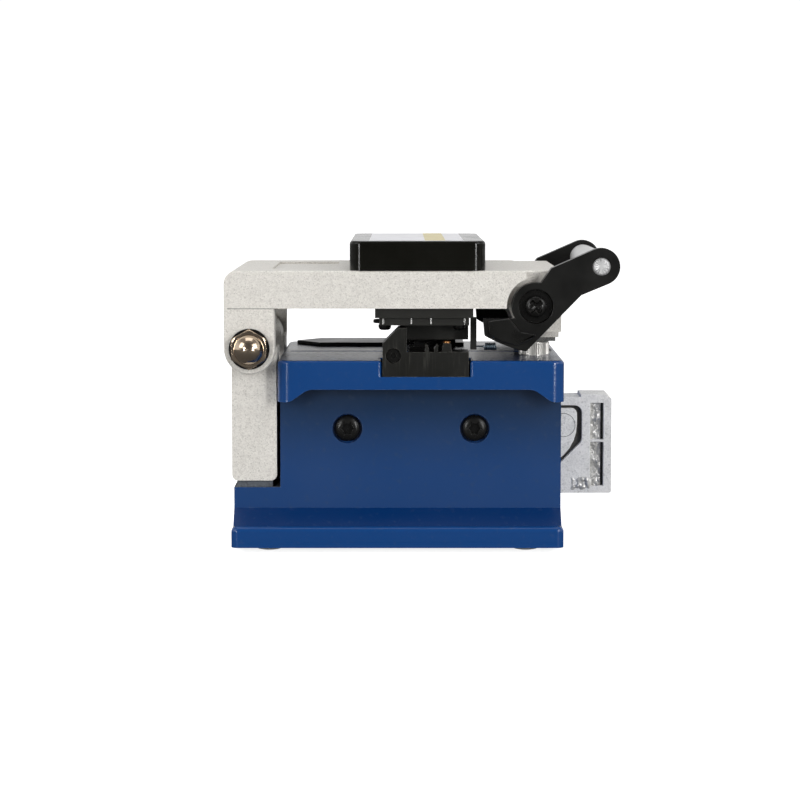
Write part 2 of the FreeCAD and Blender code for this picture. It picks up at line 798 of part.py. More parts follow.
def make_hinge_bracket():
    """The rear bracket: a block on the ledge that rises to two hinge knuckles."""
    bracket = Piece("hinge_bracket")
    front = f"{BODY_REAR} - bracket_front_gap"
    rear = f"-{HALF_LONG}"
    half = f"({WALL})"
    bracket.pad("XY", "ledge_top + seat_rise", "hinge_height",
                rectangle(rear, front, f"-{half}", half))
    bracket.pad("XZ", f"-{half}", half, Circle("-hinge_back", "hinge_height",
                                               "knuckle_radius"))
    bracket.dress("Fillet", "seat_inset", lambda e: runs(e, "Y") and within(
        e, z=size("ledge_top") + size("seat_rise")))
    bracket.pocket("XY", "bay_floor", "hinge_height + knuckle_radius",
                   rectangle("-arm_rear - ear_radius", front,
                             "-spring_bay / 2", "spring_bay / 2"))
    bracket.pocket("XZ", f"-{half}", half,
                   Circle("-hinge_back", "hinge_height", "hinge_pin + hinge_fit"))
    bracket.pocket("XY", "ledge_top + seat_rise",
                   "ledge_top + seat_rise + bracket_screw_bite + head_room",
                   *[Circle("-bracket_screw_back", f"{sign} bracket_screw_side",
                            "bracket_screw_shank") for sign in "-+"])
    return bracket


def make_bracket_screws():
    """Two cap screws from under the flange into the bracket."""
    seat = size("foot_gap") + size("bracket_screw_sunk")
    head, thick = size("bracket_screw_head"), size("bracket_screw_head_thick")
    length = size("ledge_top") + size("seat_rise") + size("bracket_screw_bite") - seat
    screws = []
    for side in (-1, 1):
        place = V(-size("bracket_screw_back"), side * size("bracket_screw_side"), seat)
        screw = rod(head, place - V(0, 0, thick), thick).fuse(
            rod(size("bracket_screw_shank"), place, length))
        screws.append(screw.cut(key_socket(head, thick, place - V(0, 0, thick),
                                           ALONG["Z"])))
    return shaped("bracket_screws", Part.makeCompound(screws))


def hinge_line(y):
    """The point of the hinge axis at a given Y."""
    return V(-size("hinge_back"), y, size("hinge_height"))


def make_hinge_pin():
    """The pin through both ears and both knuckles, ending inside the dome nuts."""
    half = size("base_width") / 2 + size("washer_thick") + size("nut_hex_height")
    return shaped("hinge_pin", rod(size("hinge_pin"), hinge_line(-half), 2 * half, "Y"))


def make_hinge_washers():
    """A dark washer between each ear and its nut."""
    half, thick = size("base_width") / 2, size("washer_thick")
    rings = []
    for start in (-half - thick, half):
        ring = rod(size("washer_radius"), hinge_line(start), thick, "Y")
        rings.append(ring.cut(rod(size("hinge_pin") + size("hinge_fit"),
                                  hinge_line(start), thick, "Y")))
    return shaped("hinge_washers", Part.makeCompound(rings))


def make_dome_nuts():
    """A hexagon dome nut on each end of the pin, turned to a ball on its outside."""
    corner = size("nut_across") / 2 / math.cos(math.radians(30))
    ring = [V(corner * math.cos(math.radians(60 * i + 30)),
              corner * math.sin(math.radians(60 * i + 30)), 0) for i in range(7)]
    thick, dome = size("nut_hex_height"), size("nut_dome_radius")
    hexagon = Part.Face(Part.makePolygon(ring)).extrude(V(0, 0, thick))
    cone = Part.makeCone(corner + size("nut_flare"),
                         size("nut_across") / 2 - size("nut_crown"), thick)
    ball = Part.makeSphere(dome, V(0, 0, thick - size("nut_dome_sunk")))
    ball = ball.common(rod(dome, V(0, 0, size("nut_dome_start")), thick + dome))
    nut = hexagon.common(cone).fuse(ball).removeSplitter()
    nut = nut.cut(rod(size("hinge_pin"), V(0, 0, 0), thick))
    start = size("base_width") / 2 + size("washer_thick")
    nuts = []
    for side in (-1, 1):
        copy = nut.copy()
        copy.Placement = FreeCAD.Placement(
            hinge_line(side * start), FreeCAD.Rotation(ALONG["Z"], V(0, side, 0)))
        nuts.append(copy)
    return shaped("hinge_nuts", Part.makeCompound(nuts))


def make_hinge_spring():
    """The torsion spring on the pin between the knuckles."""
    spring = coil_spring(size("spring_coil"), size("spring_wire"),
                         size("spring_pitch"), size("spring_turns"))
    height = size("spring_pitch") * size("spring_turns")
    spring.Placement = FreeCAD.Placement(hinge_line(-height / 2),
                                         FreeCAD.Rotation(ALONG["Z"], ALONG["Y"]))
    return shaped("hinge_spring", spring)


def make_guide_block():
    """The moulded fibre guide: shelf, sloped tower, finger pocket, V hooks and boss."""
    guide = Piece("guide_block")
    near, far = f"-{HALF_WIDE}", f"-{HALF_WIDE} + guide_deep"
    rear, front = "-guide_rear", "guide_length - guide_rear"
    tower_front = "tower_width - guide_rear"
    guide.pad("XZ", near, far,
              [(rear, "guide_bottom"), (front, "guide_bottom"), (front, "guide_shelf"),
               (tower_front, "guide_shelf"), (tower_front, "guide_tower_top"),
               ("tower_slope - guide_rear", "guide_tower_top"),
               (rear, "guide_tower_top - tower_slope")])
    inner = "fibre_line - vee_half_width"
    outer = "fibre_line + vee_half_width"
    guide.pad("XZ", near, f"{near} + guide_deep / 2",
              [(f"{inner} - hook_thick", "guide_shelf"), (inner, "guide_shelf"),
               (inner, "guide_shelf + hook_throat"),
               (f"{inner} - hook_tip", "guide_shelf + hook_rise"),
               (f"{inner} - hook_thick", "guide_shelf + hook_rise")])
    guide.pad("XZ", near, f"{near} + guide_deep / 2",
              [(outer, "guide_shelf"), (f"{outer} + hook_thick", "guide_shelf"),
               (f"{outer} + hook_thick", "guide_shelf + hook_rise"),
               (f"{outer} + hook_tip", "guide_shelf + hook_rise"),
               (outer, "guide_shelf + hook_throat")])
    guide.pad("XZ", f"{near} + boss_inset", f"{near} + guide_deep / 2",
              [("boss_rear", "guide_shelf"), ("boss_rear + boss_width", "guide_shelf"),
               ("boss_rear + boss_width - boss_taper", "guide_shelf + boss_rise"),
               ("boss_rear + boss_taper", "guide_shelf + boss_rise")])
    guide.pocket("XY", "guide_shelf - hook_thick", "guide_shelf",
                 rectangle(tower_front, f"{tower_front} + guide_pocket_width",
                           f"{near} + hook_thick", far))
    guide.pocket("XZ", near, f"{near} + hook_rise",
                 Circle("guide_screw_front - guide_rear",
                        "guide_shelf - hook_thick", "side_screw_shank"))
    return guide


def make_guide_pivot():
    """The screw that holds the guide block, sunk in its near face."""
    near = -size("base_width") / 2
    thick = size("guide_screw_thick")
    place = V(size("guide_screw_front") - size("guide_rear"),
              near + size("hook_rise") - thick, size("guide_shelf") - size("hook_thick"))
    head = size("side_screw_shank") - size("slide_gap")
    return shaped("guide_screw", rod(head, place, thick, "Y").cut(
        key_socket(head, thick, place, ALONG["Y"])))


def make_guide_adjuster():
    """The small brass stop screw on the guide block's boss."""
    near = -size("base_width") / 2
    middle = size("boss_rear") + size("boss_width") / 2
    place = V(middle, near + (size("boss_inset") + size("guide_deep") / 2) / 2,
              size("guide_shelf") + size("boss_rise"))
    radius, thick = size("adjuster_radius"), size("adjuster_thick")
    profile = [(0, 0), (radius, 0), (radius, size("adjuster_rim")),
               (size("adjuster_flat"), thick), (0, thick)]
    return shaped("guide_adjuster", turned(profile, "Z", place))


def pad_level(side):
    """Z of the lower pads' top (side -1) or of the upper pads' underside (side 1)."""
    return size("fibre_height") + side * size("pad_gap")


def pad_rows():
    """The Y limits of the near and far clamp pads."""
    return [(size("near_pad_start"), size("near_pad_end")),
            (size("far_pad_start"), size("far_pad_end"))]


def pad_reach(extra=0.0):
    """The X limits of the clamp pads."""
    half = size("pad_length") / 2 + extra
    return (size("fibre_line") - half, size("fibre_line") + half)


def make_lower_clamps():
    """Two black steps on the base top, each with a rubber pad that backs the fibre."""
    top, thick = size("body_top"), size("pad_thick")
    steps, pads = [], []
    for low, high in pad_rows():
        step = block(pad_reach(size("pad_seat_margin")), (low, high),
                     (top, pad_level(-1) - thick))
        steps.append(step)
        pads.append(block(pad_reach(), (low + size("pad_inset"), high - size("pad_inset")),
                          (pad_level(-1) - thick, pad_level(-1))))
    shaped("lower_clamp_blocks", Part.makeCompound(steps))
    return shaped("lower_clamp_pads", Part.makeCompound(pads))


def make_holder_seat():
    """The far seat for a fibre holder: a thin plate with a tapered tail, and a block."""
    seat = Piece("holder_seat")
    start = "seat_plate_start"
    end = "seat_plate_start + seat_plate_width"
    middle = "seat_plate_start + seat_plate_width / 2"
    seat.pad("XY", "body_top", "body_top + seat_plate_thick",
             [("-seat_plate_rear", middle), ("-seat_plate_rear + seat_plate_taper", start),
              ("seat_plate_front", start), ("seat_plate_front", end),
              ("-seat_plate_rear + seat_plate_taper", end)])
    half = "seat_block_length / 2"
    base = "body_top + seat_plate_thick"
    top = f"{base} + seat_block_rise"
    seat.pad("XZ", start, end,
             [(f"fibre_line - {half}", base), (f"fibre_line + {half}", base),
              (f"fibre_line + {half}", top), ("fibre_line + groove_half_width", top),
              ("fibre_line", f"{top} - groove_half_width"),
              ("fibre_line - groove_half_width", top), (f"fibre_line - {half}", top)])
    return seat


def make_magnet_posts():
    """Two posts on the base top whose magnets hold the arm shut."""
    top = size("lip_bottom") - size("keeper_thick") - size("keeper_gap")
    posts = [rod(size("post_radius"), V(size("post_front"), side * size("post_side"),
                                        size("body_top")), top - size("body_top"))
             for side in (-1, 1)]
    return shaped("magnet_posts", Part.makeCompound(posts))


# ---------------------------------------------------------------- slider and blade


def make_slider_casting():
    """The cast slider: finger block in front, spine below the blade, blade lug."""
    slider = Piece("slider_casting")
    near, far = "-slider_near", SLIDER_FAR
    blade_gap = "blade_plane + blade_thick / 2 + blade_clear"
    blade_front = "blade_rest + blade_radius + blade_clear"
    slider.pad("XZ", near, far,
               [("-slider_rear", "slider_bottom"), ("slider_front", "slider_bottom"),
                ("slider_front", "slider_top"), (blade_front, "slider_top"),
                (blade_front, "spine_top"), ("-slider_rear", "spine_top")])
    slider.dress("Fillet", "slider_edge", lambda e: runs(e, "Y") and within(
        e, x=size("slider_front")))
    slider.pad("XY", "slider_top", "slider_top + grip_rise",
               rectangle("grip_rear", "grip_rear + grip_length", near, far))
    slider.pad("XZ", blade_gap, far,
               [("blade_rest - lug_foot_half", "spine_top"),
                ("blade_rest + lug_foot_half", "spine_top"),
                ("blade_rest + lug_top_half", BLADE_HEIGHT),
                ("blade_rest - lug_top_half", BLADE_HEIGHT)])
    slider.pad("XZ", blade_gap, far, Circle("blade_rest", BLADE_HEIGHT,
                                            "hub_radius"))
    slider.pocket("XZ", blade_gap, far,
                  Circle("blade_rest", BLADE_HEIGHT, "axle_radius + shaft_fit"))
    slider.pad("XZ", CARRIAGE_FAR, near,
               rectangle(CARRIAGE_REAR, f"{CARRIAGE_REAR} + carriage_length",
                         "rail_height - carriage_width / 2",
                         "rail_height + carriage_width / 2"))
    stations = carriage_screw_stations()
    slider.pocket("XZ", CARRIAGE_FAR, far,
                  *[Circle(x, z, "carriage_screw_shank + pivot_fit") for x, z in stations])
    slider.pocket("XZ", f"{near} - carriage_screw_head_thick", far,
                  *[Circle(x, z, "carriage_screw_head + slide_gap") for x, z in stations])
    slider.pocket("XZ", near, f"{near} + dish_depth",
                  [("dish_front - dish_length", "dish_bottom"),
                   ("dish_front - dish_sweep", "dish_bottom"),
                   ("dish_front", "dish_bottom + dish_sweep"),
                   ("dish_front", "dish_top"), ("dish_front - dish_length", "dish_top")])
    sweep = size("dish_sweep")
    slider.dress("Fillet", "dish_corner", lambda e: runs(e, "Y") and within(
        e, x=(size("dish_front") - sweep - TOUCH, size("dish_front")),
        y=(-size("slider_near"), -size("slider_near") + size("dish_depth")),
        z=(size("dish_bottom"), size("dish_top"))))
    for low, high in (("rib_slot_low", "rib_slot_middle - rib_thick / 2"),
                      ("rib_slot_middle + rib_thick / 2", "rib_slot_high")):
        slider.pocket("XZ", near, f"{near} + rib_slot_depth",
                      rectangle("rib_slot_rear", "rib_slot_rear + rib_slot_length",
                                low, high))
    return slider


def carriage_screw_stations():
    """The carriage's four screws, as pairs of formulas for X and Z."""
    middle = f"{CARRIAGE_REAR} + carriage_length / 2"
    return [(f"{middle} {a} carriage_screw_pitch / 2",
             f"rail_height {b} carriage_screw_rise") for a in "-+" for b in "-+"]


def make_carriage():
    """The bearing carriage that wraps the rail, bolted to the slider."""
    carriage = Piece("rail_carriage")
    near = f"{CAVITY_NEAR} + carriage_lift"
    far = f"{near} + carriage_thick"
    half = "carriage_width / 2"
    bore = "rail_width / 2 + slide_gap"
    rail_face = f"{CAVITY_NEAR} + rail_thick + slide_gap"
    carriage.pad("YZ", CARRIAGE_REAR, f"{CARRIAGE_REAR} + carriage_length",
                 [(near, f"rail_height - {half}"), (far, f"rail_height - {half}"),
                  (far, f"rail_height + {half}"), (near, f"rail_height + {half}"),
                  (near, f"rail_height + {bore}"), (rail_face, f"rail_height + {bore}"),
                  (rail_face, f"rail_height - ({bore})"),
                  (near, f"rail_height - ({bore})")])
    carriage.pocket("XZ", f"{far} - carriage_screw_bite - slide_gap", far,
                    *[Circle(x, z, "carriage_screw_shank")
                      for x, z in carriage_screw_stations()])
    return carriage


def make_carriage_screws():
    """Four screws that hold the slider to its carriage."""
    thick = size("carriage_screw_head_thick")
    seat = -size("slider_near") - thick
    far = rail_back() + size("carriage_lift") + size("carriage_thick")
    length = seat - far + size("carriage_screw_bite")
    middle = (size("blade_rest") - size("carriage_back")
              + size("carriage_length") / 2)
    screws = []
    for a in (-1, 1):
        for b in (-1, 1):
            place = V(middle + a * size("carriage_screw_pitch") / 2, seat,
                      size("rail_height") + b * size("carriage_screw_rise"))
            screw = rod(size("carriage_screw_head"), place, thick, "Y").fuse(
                rod(size("carriage_screw_shank"), place - V(0, length, 0), length, "Y"))
            screws.append(screw.cut(key_socket(size("carriage_screw_head"), thick,
                                               place + V(0, thick, 0), -ALONG["Y"])))
    return shaped("carriage_screws", Part.makeCompound(screws))


def blade_middle(y):
    """The point of the blade's axis at a given Y."""
    height = size("fibre_height") - size("blade_clear") - size("blade_radius")
    return V(size("blade_rest"), y, height)


def make_blade():
    """The round scoring blade, bevelled to an edge on both sides."""
    half, bore = size("blade_thick") / 2, size("axle_radius")
    rim, bevel = size("blade_radius"), size("blade_edge")
    profile = [(bore, -half), (rim - bevel, -half), (rim, 0), (rim - bevel, half),
               (bore, half)]
    return shaped("blade_wheel", turned(profile, "Y", blade_middle(size("blade_plane"))))


def make_blade_hub():
    """The flanged axle that clamps the blade and turns in the slider's lug."""
    half = size("blade_thick") / 2
    flange, axle = size("hub_radius"), size("axle_radius")
    far = size("slider_thick") - size("slider_near") - size("blade_plane")
    profile = [(0, -half - size("hub_flange")), (flange, -half - size("hub_flange")),
               (flange, -half), (axle, -half), (axle, far + size("blade_clear")),
               (0, far + size("blade_clear"))]
    hub = turned(profile, "Y", blade_middle(size("blade_plane")))
    start = blade_middle(size("blade_plane") - half - size("hub_flange"))
    return shaped("blade_hub", hub.cut(hex_cut(
        size("hub_socket"), size("hub_socket_deep"), start, ALONG["Y"])))


# ---------------------------------------------------------------- arm


def make_arm():
    """The cast arm: plate, rear ears, front nose that carries the handle's pivots."""
    arm = Piece("arm_casting")
    arm.pad("XY", ARM_UNDER, "arm_top",
            rectangle("-arm_rear", "arm_side_front", f"-{HALF_WIDE}", HALF_WIDE))
    arm.pad("XY", ARM_UNDER, "arm_top",
            rectangle("-arm_rear", "arm_core_front", f"-{CORE_SIDE}", CORE_SIDE))
    arm.pad("XZ", f"-{CORE_SIDE}", CORE_SIDE,
            [("arm_core_front - nose_length", ARM_UNDER),
             ("arm_core_front - nose_length + nose_slope", "nose_bottom"),
             ("arm_core_front", "nose_bottom"), ("arm_core_front", ARM_UNDER)])
    arm.pad("XZ", "-lip_half_width", "lip_half_width",
            [("arm_core_front - lip_length", "nose_bottom"),
             ("arm_core_front - lip_length", "lip_bottom"),
             ("arm_core_front", "lip_bottom"), ("arm_core_front", "nose_bottom")])
    for inner, outer in ((f"-{HALF_WIDE}", f"-({EAR_INNER})"), (EAR_INNER, HALF_WIDE)):
        arm.pad("XZ", inner, outer,
                rectangle("-hinge_back - ear_radius", "-hinge_back + ear_radius",
                          "hinge_height", ARM_UNDER))
        arm.pad("XZ", inner, outer,
                Circle("-hinge_back", "hinge_height", "ear_radius"))
    arm.pocket("XZ", f"-{HALF_WIDE}", f"-{CORE_SIDE}",
               Circle("pivot_front", "pivot_height", "handle_boss + handle_notch"))
    arm.pocket("XZ", CORE_SIDE, HALF_WIDE,
               Circle("pivot_front", "pivot_height", "handle_boss + handle_notch"))
    rear, top = -size("arm_rear"), size("arm_top")
    arm.dress("Fillet", "arm_rear_round", lambda e: runs(e, "Y") and within(
        e, x=rear, z=top))
    arm.dress("Fillet", "arm_edge", lambda e: e.BoundBox.ZMin > top - TOUCH)
    arm.pocket("XY", "arm_top - panel_depth", "arm_top",
               rectangle("-panel_rear", "-panel_rear + panel_length",
                         "-panel_width / 2", "panel_width / 2"))
    arm.pocket("XY", ARM_UNDER, "arm_top",
               rectangle("-housing_rear + window_margin",
                         "housing_length - housing_rear - window_margin",
                         f"-({EAR_INNER}) + window_margin",
                         f"{EAR_INNER} - window_margin"))
    arm.pocket("XY", ARM_UNDER, f"{BLOCK_UNDER} + housing_screw_length + head_room",
               *housing_screw_holes())
    arm.pocket("XZ", f"-{HALF_WIDE}", HALF_WIDE,
               Circle("-hinge_back", "hinge_height", "hinge_pin + hinge_fit"))
    arm.pocket("XZ", f"-{CORE_SIDE}", CORE_SIDE,
               Circle("pivot_front", "pivot_height", "pivot_screw"))
    return arm


def make_cap():
    """The moulded cap on the arm, a shell with rounded corners."""
    cap = Piece("anvil_cap")
    rear, front = "-cap_rear", "cap_length - cap_rear"
    top = "arm_top + cap_height"
    cap.pad("XY", "arm_top", top, rectangle(rear, front, f"-{HALF_WIDE}", HALF_WIDE))
    cap.dress("Fillet", "cap_corner", lambda e: runs(e, "Z"))
    cap.dress("Fillet", "cap_edge", lambda e: e.BoundBox.ZMin
              > size("arm_top") + size("cap_height") - TOUCH)
    cap.pocket("XY", "arm_top", f"{top} - cap_wall",
               rectangle(f"{rear} + cap_wall", f"{front} - cap_wall",
                         f"-{HALF_WIDE} + cap_wall", f"{HALF_WIDE} - cap_wall"))
    return cap


def housing_screw_holes():
    """The four clearance holes of the screws that hold the housing under the arm."""
    return [Circle(x, f"{side} housing_screw_side", "housing_screw_shank + pivot_fit")
            for x in ("housing_screw_rear", "housing_screw_front") for side in "-+"]


def make_housing():
    """The stepped housing under the arm, with a guide window for each plunger."""
    housing = Piece("anvil_housing")
    housing.pad("XY", PLATE_UNDER, ARM_UNDER,
                rectangle(HOUSING_REAR, HOUSING_FRONT, f"-{HOUSING_SIDE}", HOUSING_SIDE))
    housing.pad("XY", BLOCK_UNDER, PLATE_UNDER,
                rectangle(f"{HOUSING_REAR} + housing_step", f"{HOUSING_FRONT} - housing_step",
                          f"-{HOUSING_SIDE} + housing_step",
                          f"{HOUSING_SIDE} - housing_step"))
    for start, end in (("-curtain_start - curtain_thick", "-curtain_start"),
                       ("curtain_start", "curtain_start + curtain_thick")):
        housing.pad("XZ", start, end,
                    rectangle("curtain_rear", "curtain_rear + curtain_length",
                              "curtain_bottom", BLOCK_UNDER))
    housing.pad("XZ", "-anchor_side - anchor_thick / 2", "-anchor_side + anchor_thick / 2",
                rectangle("anchor_front - anchor_length", "anchor_front",
                          "anchor_bottom", PLATE_UNDER))
    for low, high in STEM_ROWS:
        housing.pocket("XY", BLOCK_UNDER, ARM_UNDER,
                       rectangle("fibre_line - stem_half - slide_gap",
                                 "fibre_line + stem_half + slide_gap",
                                 f"{low} - slide_gap", f"{high} + slide_gap"))
    housing.pocket("XY", BLOCK_UNDER, ARM_UNDER, *housing_screw_holes())
    return housing


def stem_window(y_span, z_span):
    """A plunger's stem, as wide as its window in the housing less the sliding gap."""
    line, half = size("fibre_line"), size("stem_half")
    return block((line - half, line + half), y_span, z_span)


def block_under():
    """Z of the housing's underside."""
    return (size("arm_under") - size("housing_plate_thick")
            - size("housing_block_thick"))


def make_clamp(name, row, outward):
    """An upper clamp: a block that slides in the housing, with its rubber pad."""
    low, high = row
    pad_top = pad_level(1) + size("pad_thick")
    top = block_under() - size("clamp_lift_room")
    reach, inner = size("clamp_reach"), size("clamp_inner")
    y_span = (low - reach, high + inner) if outward < 0 else (low - inner, high + reach)
    body = block((size("clamp_rear"), size("clamp_rear") + size("clamp_length")), y_span,
                 (pad_top, top))
    shaped(f"{name}_clamp_block", body.fuse(
        stem_window(row, (top, size("stem_top")))).removeSplitter())
    inset = size("pad_inset")
    return shaped(f"{name}_clamp_pad", block(pad_reach(), (low + inset, high - inset),
                                             (pad_level(1), pad_top)))


def make_anvil():
    """The anvil plunger over the blade's path, and its hard tip."""
    row = (size("anvil_start"), size("anvil_end"))
    tip_bottom = size("fibre_height") + size("anvil_rest_gap")
    tip_top = tip_bottom + size("anvil_tip_thick")
    shaped("anvil_plunger", stem_window(row, (tip_top, size("stem_top"))))
    line, half = size("fibre_line"), size("anvil_tip_half")
    return shaped("anvil_tip", block((line - half, line + half), row,
                                     (tip_bottom, tip_top)))


def make_plunger_springs():
    """A coil spring between each plunger's top and the cap's ceiling."""
    ceiling = size("arm_top") + size("cap_height") - size("cap_wall")
    wire, turns = size("plunger_spring_wire"), size("plunger_spring_turns")
    low = size("stem_top") + wire
    pitch = (ceiling - wire - low) / turns
    spring = coil_spring(size("plunger_spring_coil"), wire, pitch, turns)
    for name, row in (("near_clamp", pad_rows()[0]), ("far_clamp", pad_rows()[1]),
                      ("anvil", (size("anvil_start"), size("anvil_end")))):
        copy = spring.copy()
        copy.translate(V(size("fibre_line"), sum(row) / 2, low))
        shaped(f"{name}_spring", copy)


def make_housing_screws():
    """Four pan-head screws under the housing."""
    screws = []
    for x in (size("housing_screw_rear"), size("housing_screw_front")):
        for side in (-1, 1):
            place = V(x, side * size("housing_screw_side"), block_under())
            screws.append(headed_screw(
                size("housing_screw_head"), size("housing_screw_head_thick"),
                size("housing_screw_shank"), size("housing_screw_length"), place,
                V(0, 0, -1), socket=False))
    return shaped("housing_screws", Part.makeCompound(screws))


def make_tension_spring():
    """The handle's small tension spring: a straight lead from its anchor, then a coil."""
    wire, coil = size("tension_wire"), size("tension_coil")
    start = V(size("anchor_front"), -size("anchor_side"), size("tension_height"))
    lead, turns = size("tension_lead"), size("tension_turns")
    spring = coil_spring(coil, wire, size("tension_pitch"), turns)
    spring.Placement = FreeCAD.Placement(start + V(lead, 0, 0),
                                         FreeCAD.Rotation(ALONG["Z"], ALONG["X"]))
    tail = rod(wire, start - V(0, 0, coil), lead + wire, "X")
    return shaped("handle_spring", tail.fuse(spring))


def make_keeper():
    """The steel strip under the arm's lip that the magnet posts pull on."""
    low = size("lip_bottom") - size("keeper_thick")
    front = size("arm_core_front")
    margin = size("keeper_margin")
    side = size("lip_half_width") - margin
    return shaped("keeper_strip", block(
        (front - size("lip_length") + margin, front - margin), (-side, side),
        (low, size("lip_bottom"))))


# ---------------------------------------------------------------- handle


# Slopes of the handle's outline, in degrees
HANDLE_SLOPE = 22.5
ELBOW_SLOPE = 45.0
SHOULDER_ANGLE = 78.0


def handle_outline(y):
    """The bail plate's outline: end round, straight arm, pivot boss and toe."""
    bar = V(size("handle_bar_front"), y, size("handle_bar_height"))
    pivot = V(size("pivot_front"), y, size("pivot_height"))
    end, boss = size("handle_end_radius"), size("handle_boss")
    shoulder = V(size("shoulder_front"), y, size("shoulder_height"))
    tip = V(size("toe_tip_front"), y, size("toe_tip_height"))
    heel = V(size("toe_rear") + size("heel_step"), y, size("toe_heel_rise"))
    corner = V(size("toe_rear"), y, size("toe_top"))
    slope = math.radians(HANDLE_SLOPE)
    along = V(math.cos(slope), 0, math.sin(slope))
    across = V(-math.sin(slope), 0, math.cos(slope))
    upper = bar + across * end
    lower = bar - across * end
    far_end = bar + along * end
    diagonal = math.radians(ELBOW_SLOPE)
    down = V(math.cos(diagonal), 0, math.sin(diagonal))
    side = pivot + V(math.sin(diagonal), 0, -math.cos(diagonal)) * boss
    reach = ((lower.z - side.z) - math.tan(slope) * (lower.x - side.x)) / (
        down.z - math.tan(slope) * down.x)
    elbow = side + down * reach
    top_angle = math.radians(SHOULDER_ANGLE)
    left_angle = math.asin((size("toe_top") - pivot.z) / boss)
    boss_top = pivot + V(math.cos(top_angle), 0, math.sin(top_angle)) * boss
    boss_left = pivot + V(-math.cos(left_angle), 0, math.sin(left_angle)) * boss
    middle = (top_angle + math.pi - left_angle) / 2
    boss_middle = pivot + V(math.cos(middle), 0, math.sin(middle)) * boss
    chord = tip - heel
    outward = V(chord.z, 0, -chord.x).normalize()
    belly = (heel + tip) * 0.5 + outward * size("toe_bulge")
    return Part.Wire([
        Part.makeLine(elbow, lower),
        Part.Arc(lower, far_end, upper).toShape(),
        Part.makeLine(upper, shoulder),
        Part.makeLine(shoulder, boss_top),
        Part.Arc(boss_top, boss_middle, boss_left).toShape(),
        Part.makeLine(boss_left, corner),
        Part.makeLine(corner, heel),
        Part.Arc(heel, belly, tip).toShape(),
        Part.makeLine(tip, elbow),
    ])


def make_handle_plate(label, side):
    """One side plate of the bail handle, recessed and bored for its pivot screw."""
    thick = size("handle_plate_thick")
    outer = side * size("base_width") / 2
    inward = V(0, -side, 0)
    plate = Part.Face(handle_outline(outer)).extrude(inward * thick)
    pivot = V(size("pivot_front"), outer, size("pivot_height"))
    bar = V(size("handle_bar_front"), outer, size("handle_bar_height"))
    bore = size("pivot_screw") + size("pivot_fit")
    for place, radius, depth in ((pivot, size("recess_radius"), size("recess_depth")),
                                 (pivot, bore, thick), (bar, size("handle_rivet"), thick)):
        plate = plate.cut(Part.makeCylinder(radius, depth, place, inward))
    return shaped(label, plate)


def make_handle_bar():
    """The round finger bar, with a turned end through each side plate."""
    half = size("base_width") / 2
    inner = half - size("handle_plate_thick")
    middle = V(size("handle_bar_front"), 0, size("handle_bar_height"))
    thick, thin = size("handle_bar_radius"), size("handle_rivet")
    cone = half - size("bar_end_cone")
    face = half - size("bar_end_sunk")
    profile = [(0, -cone), (thin, -face), (thin, -inner), (thick, -inner),
               (thick, inner), (thin, inner), (thin, face), (0, cone)]
    return shaped("handle_bar", turned(profile, "Y", middle))


def make_handle_pivots():
    """The two pan-head pivot screws and, under each head, a thin washer."""
    half = size("base_width") / 2
    seat = half - size("recess_depth")
    washer = size("thin_washer")
    screws, washers = [], []
    for side in (-1, 1):
        head_at = V(size("pivot_front"), side * (seat + washer + size("slide_gap")),
                    size("pivot_height"))
        screws.append(headed_screw(size("pan_head"), size("pan_head_thick"),
                                   size("pivot_screw"), size("pivot_screw_length"),
                                   head_at, V(0, side, 0), socket=False))
        ring = Part.makeCylinder(size("recess_radius") - size("slide_gap"), washer,
                                 V(size("pivot_front"), side * seat, size("pivot_height")),
                                 V(0, side, 0))
        washers.append(ring.cut(Part.makeCylinder(
            size("pivot_screw") + size("pivot_fit"), washer,
            V(size("pivot_front"), side * seat, size("pivot_height")),
            V(0, side, 0))))
    shaped("handle_screws", Part.makeCompound(screws))
    return shaped("handle_washers", Part.makeCompound(washers))


# ---------------------------------------------------------------- assembly


def make_everything():
    """Build every sub-part, body by body."""
    make_base_casting()
    make_feet()
    make_rail()
    make_rail_screws()
    make_hinge_bracket()
    make_bracket_screws()
    make_hinge_pin()
    make_hinge_washers()
    make_dome_nuts()
    make_hinge_spring()
    make_guide_block()
    make_guide_pivot()
    make_guide_adjuster()
    make_lower_clamps()
    make_holder_seat()
    make_magnet_posts()
    make_slider_casting()
    make_carriage()
    make_carriage_screws()
    make_blade()
    make_blade_hub()
    make_arm()
    make_cap()
    make_housing()
    make_housing_screws()
    near, far = pad_rows()
    make_clamp("near", near, -1)
    make_clamp("far", far, 1)
    make_anvil()
    make_plunger_springs()
    make_tension_spring()
    make_keeper()
    make_handle_plate("handle_near_plate", -1)
    make_handle_plate("handle_far_plate", 1)
    make_handle_bar()
    make_handle_pivots()


def check_everything():
    """Stop if any object failed or any sub-part has no sound shape."""
    doc.recompute()
    for thing in doc.Objects:
        if "Invalid" in thing.State or "Error" in thing.State:
            raise RuntimeError(f"{thing.Name} failed: {thing.State}")
    for part in NODES:
        if part.Shape.isNull() or not part.Shape.isValid() or part.Shape.Volume <= 0:
            raise RuntimeError(f"{part.Label} has no valid shape")


def export_everything():
    """Write one STEP file for each sub-part, moved so that the origin is where it is."""
    os.makedirs("parts", exist_ok=True)
    back = V(-size("origin_front"), 0, 0)
    for part in NODES:
        part.Shape.translated(back).exportStep(f"parts/{part.Label}.step")
    print(len(NODES), "sub-parts")


make_everything()
check_everything()
export_everything()
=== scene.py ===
"""Looks of a bench fibre cleaver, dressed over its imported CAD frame.

Lengths in the classes are millimetres; meshes are made in metres.  +X points to the
user, the fibre lies along Y and +Z is up.
"""
from __future__ import annotations

import logging
import math
from dataclasses import dataclass
from enum import Enum
from typing import Callable, List, Mapping, Optional, Sequence, Tuple, Union

import bmesh
import bpy
from mathutils import Matrix, Vector, noise


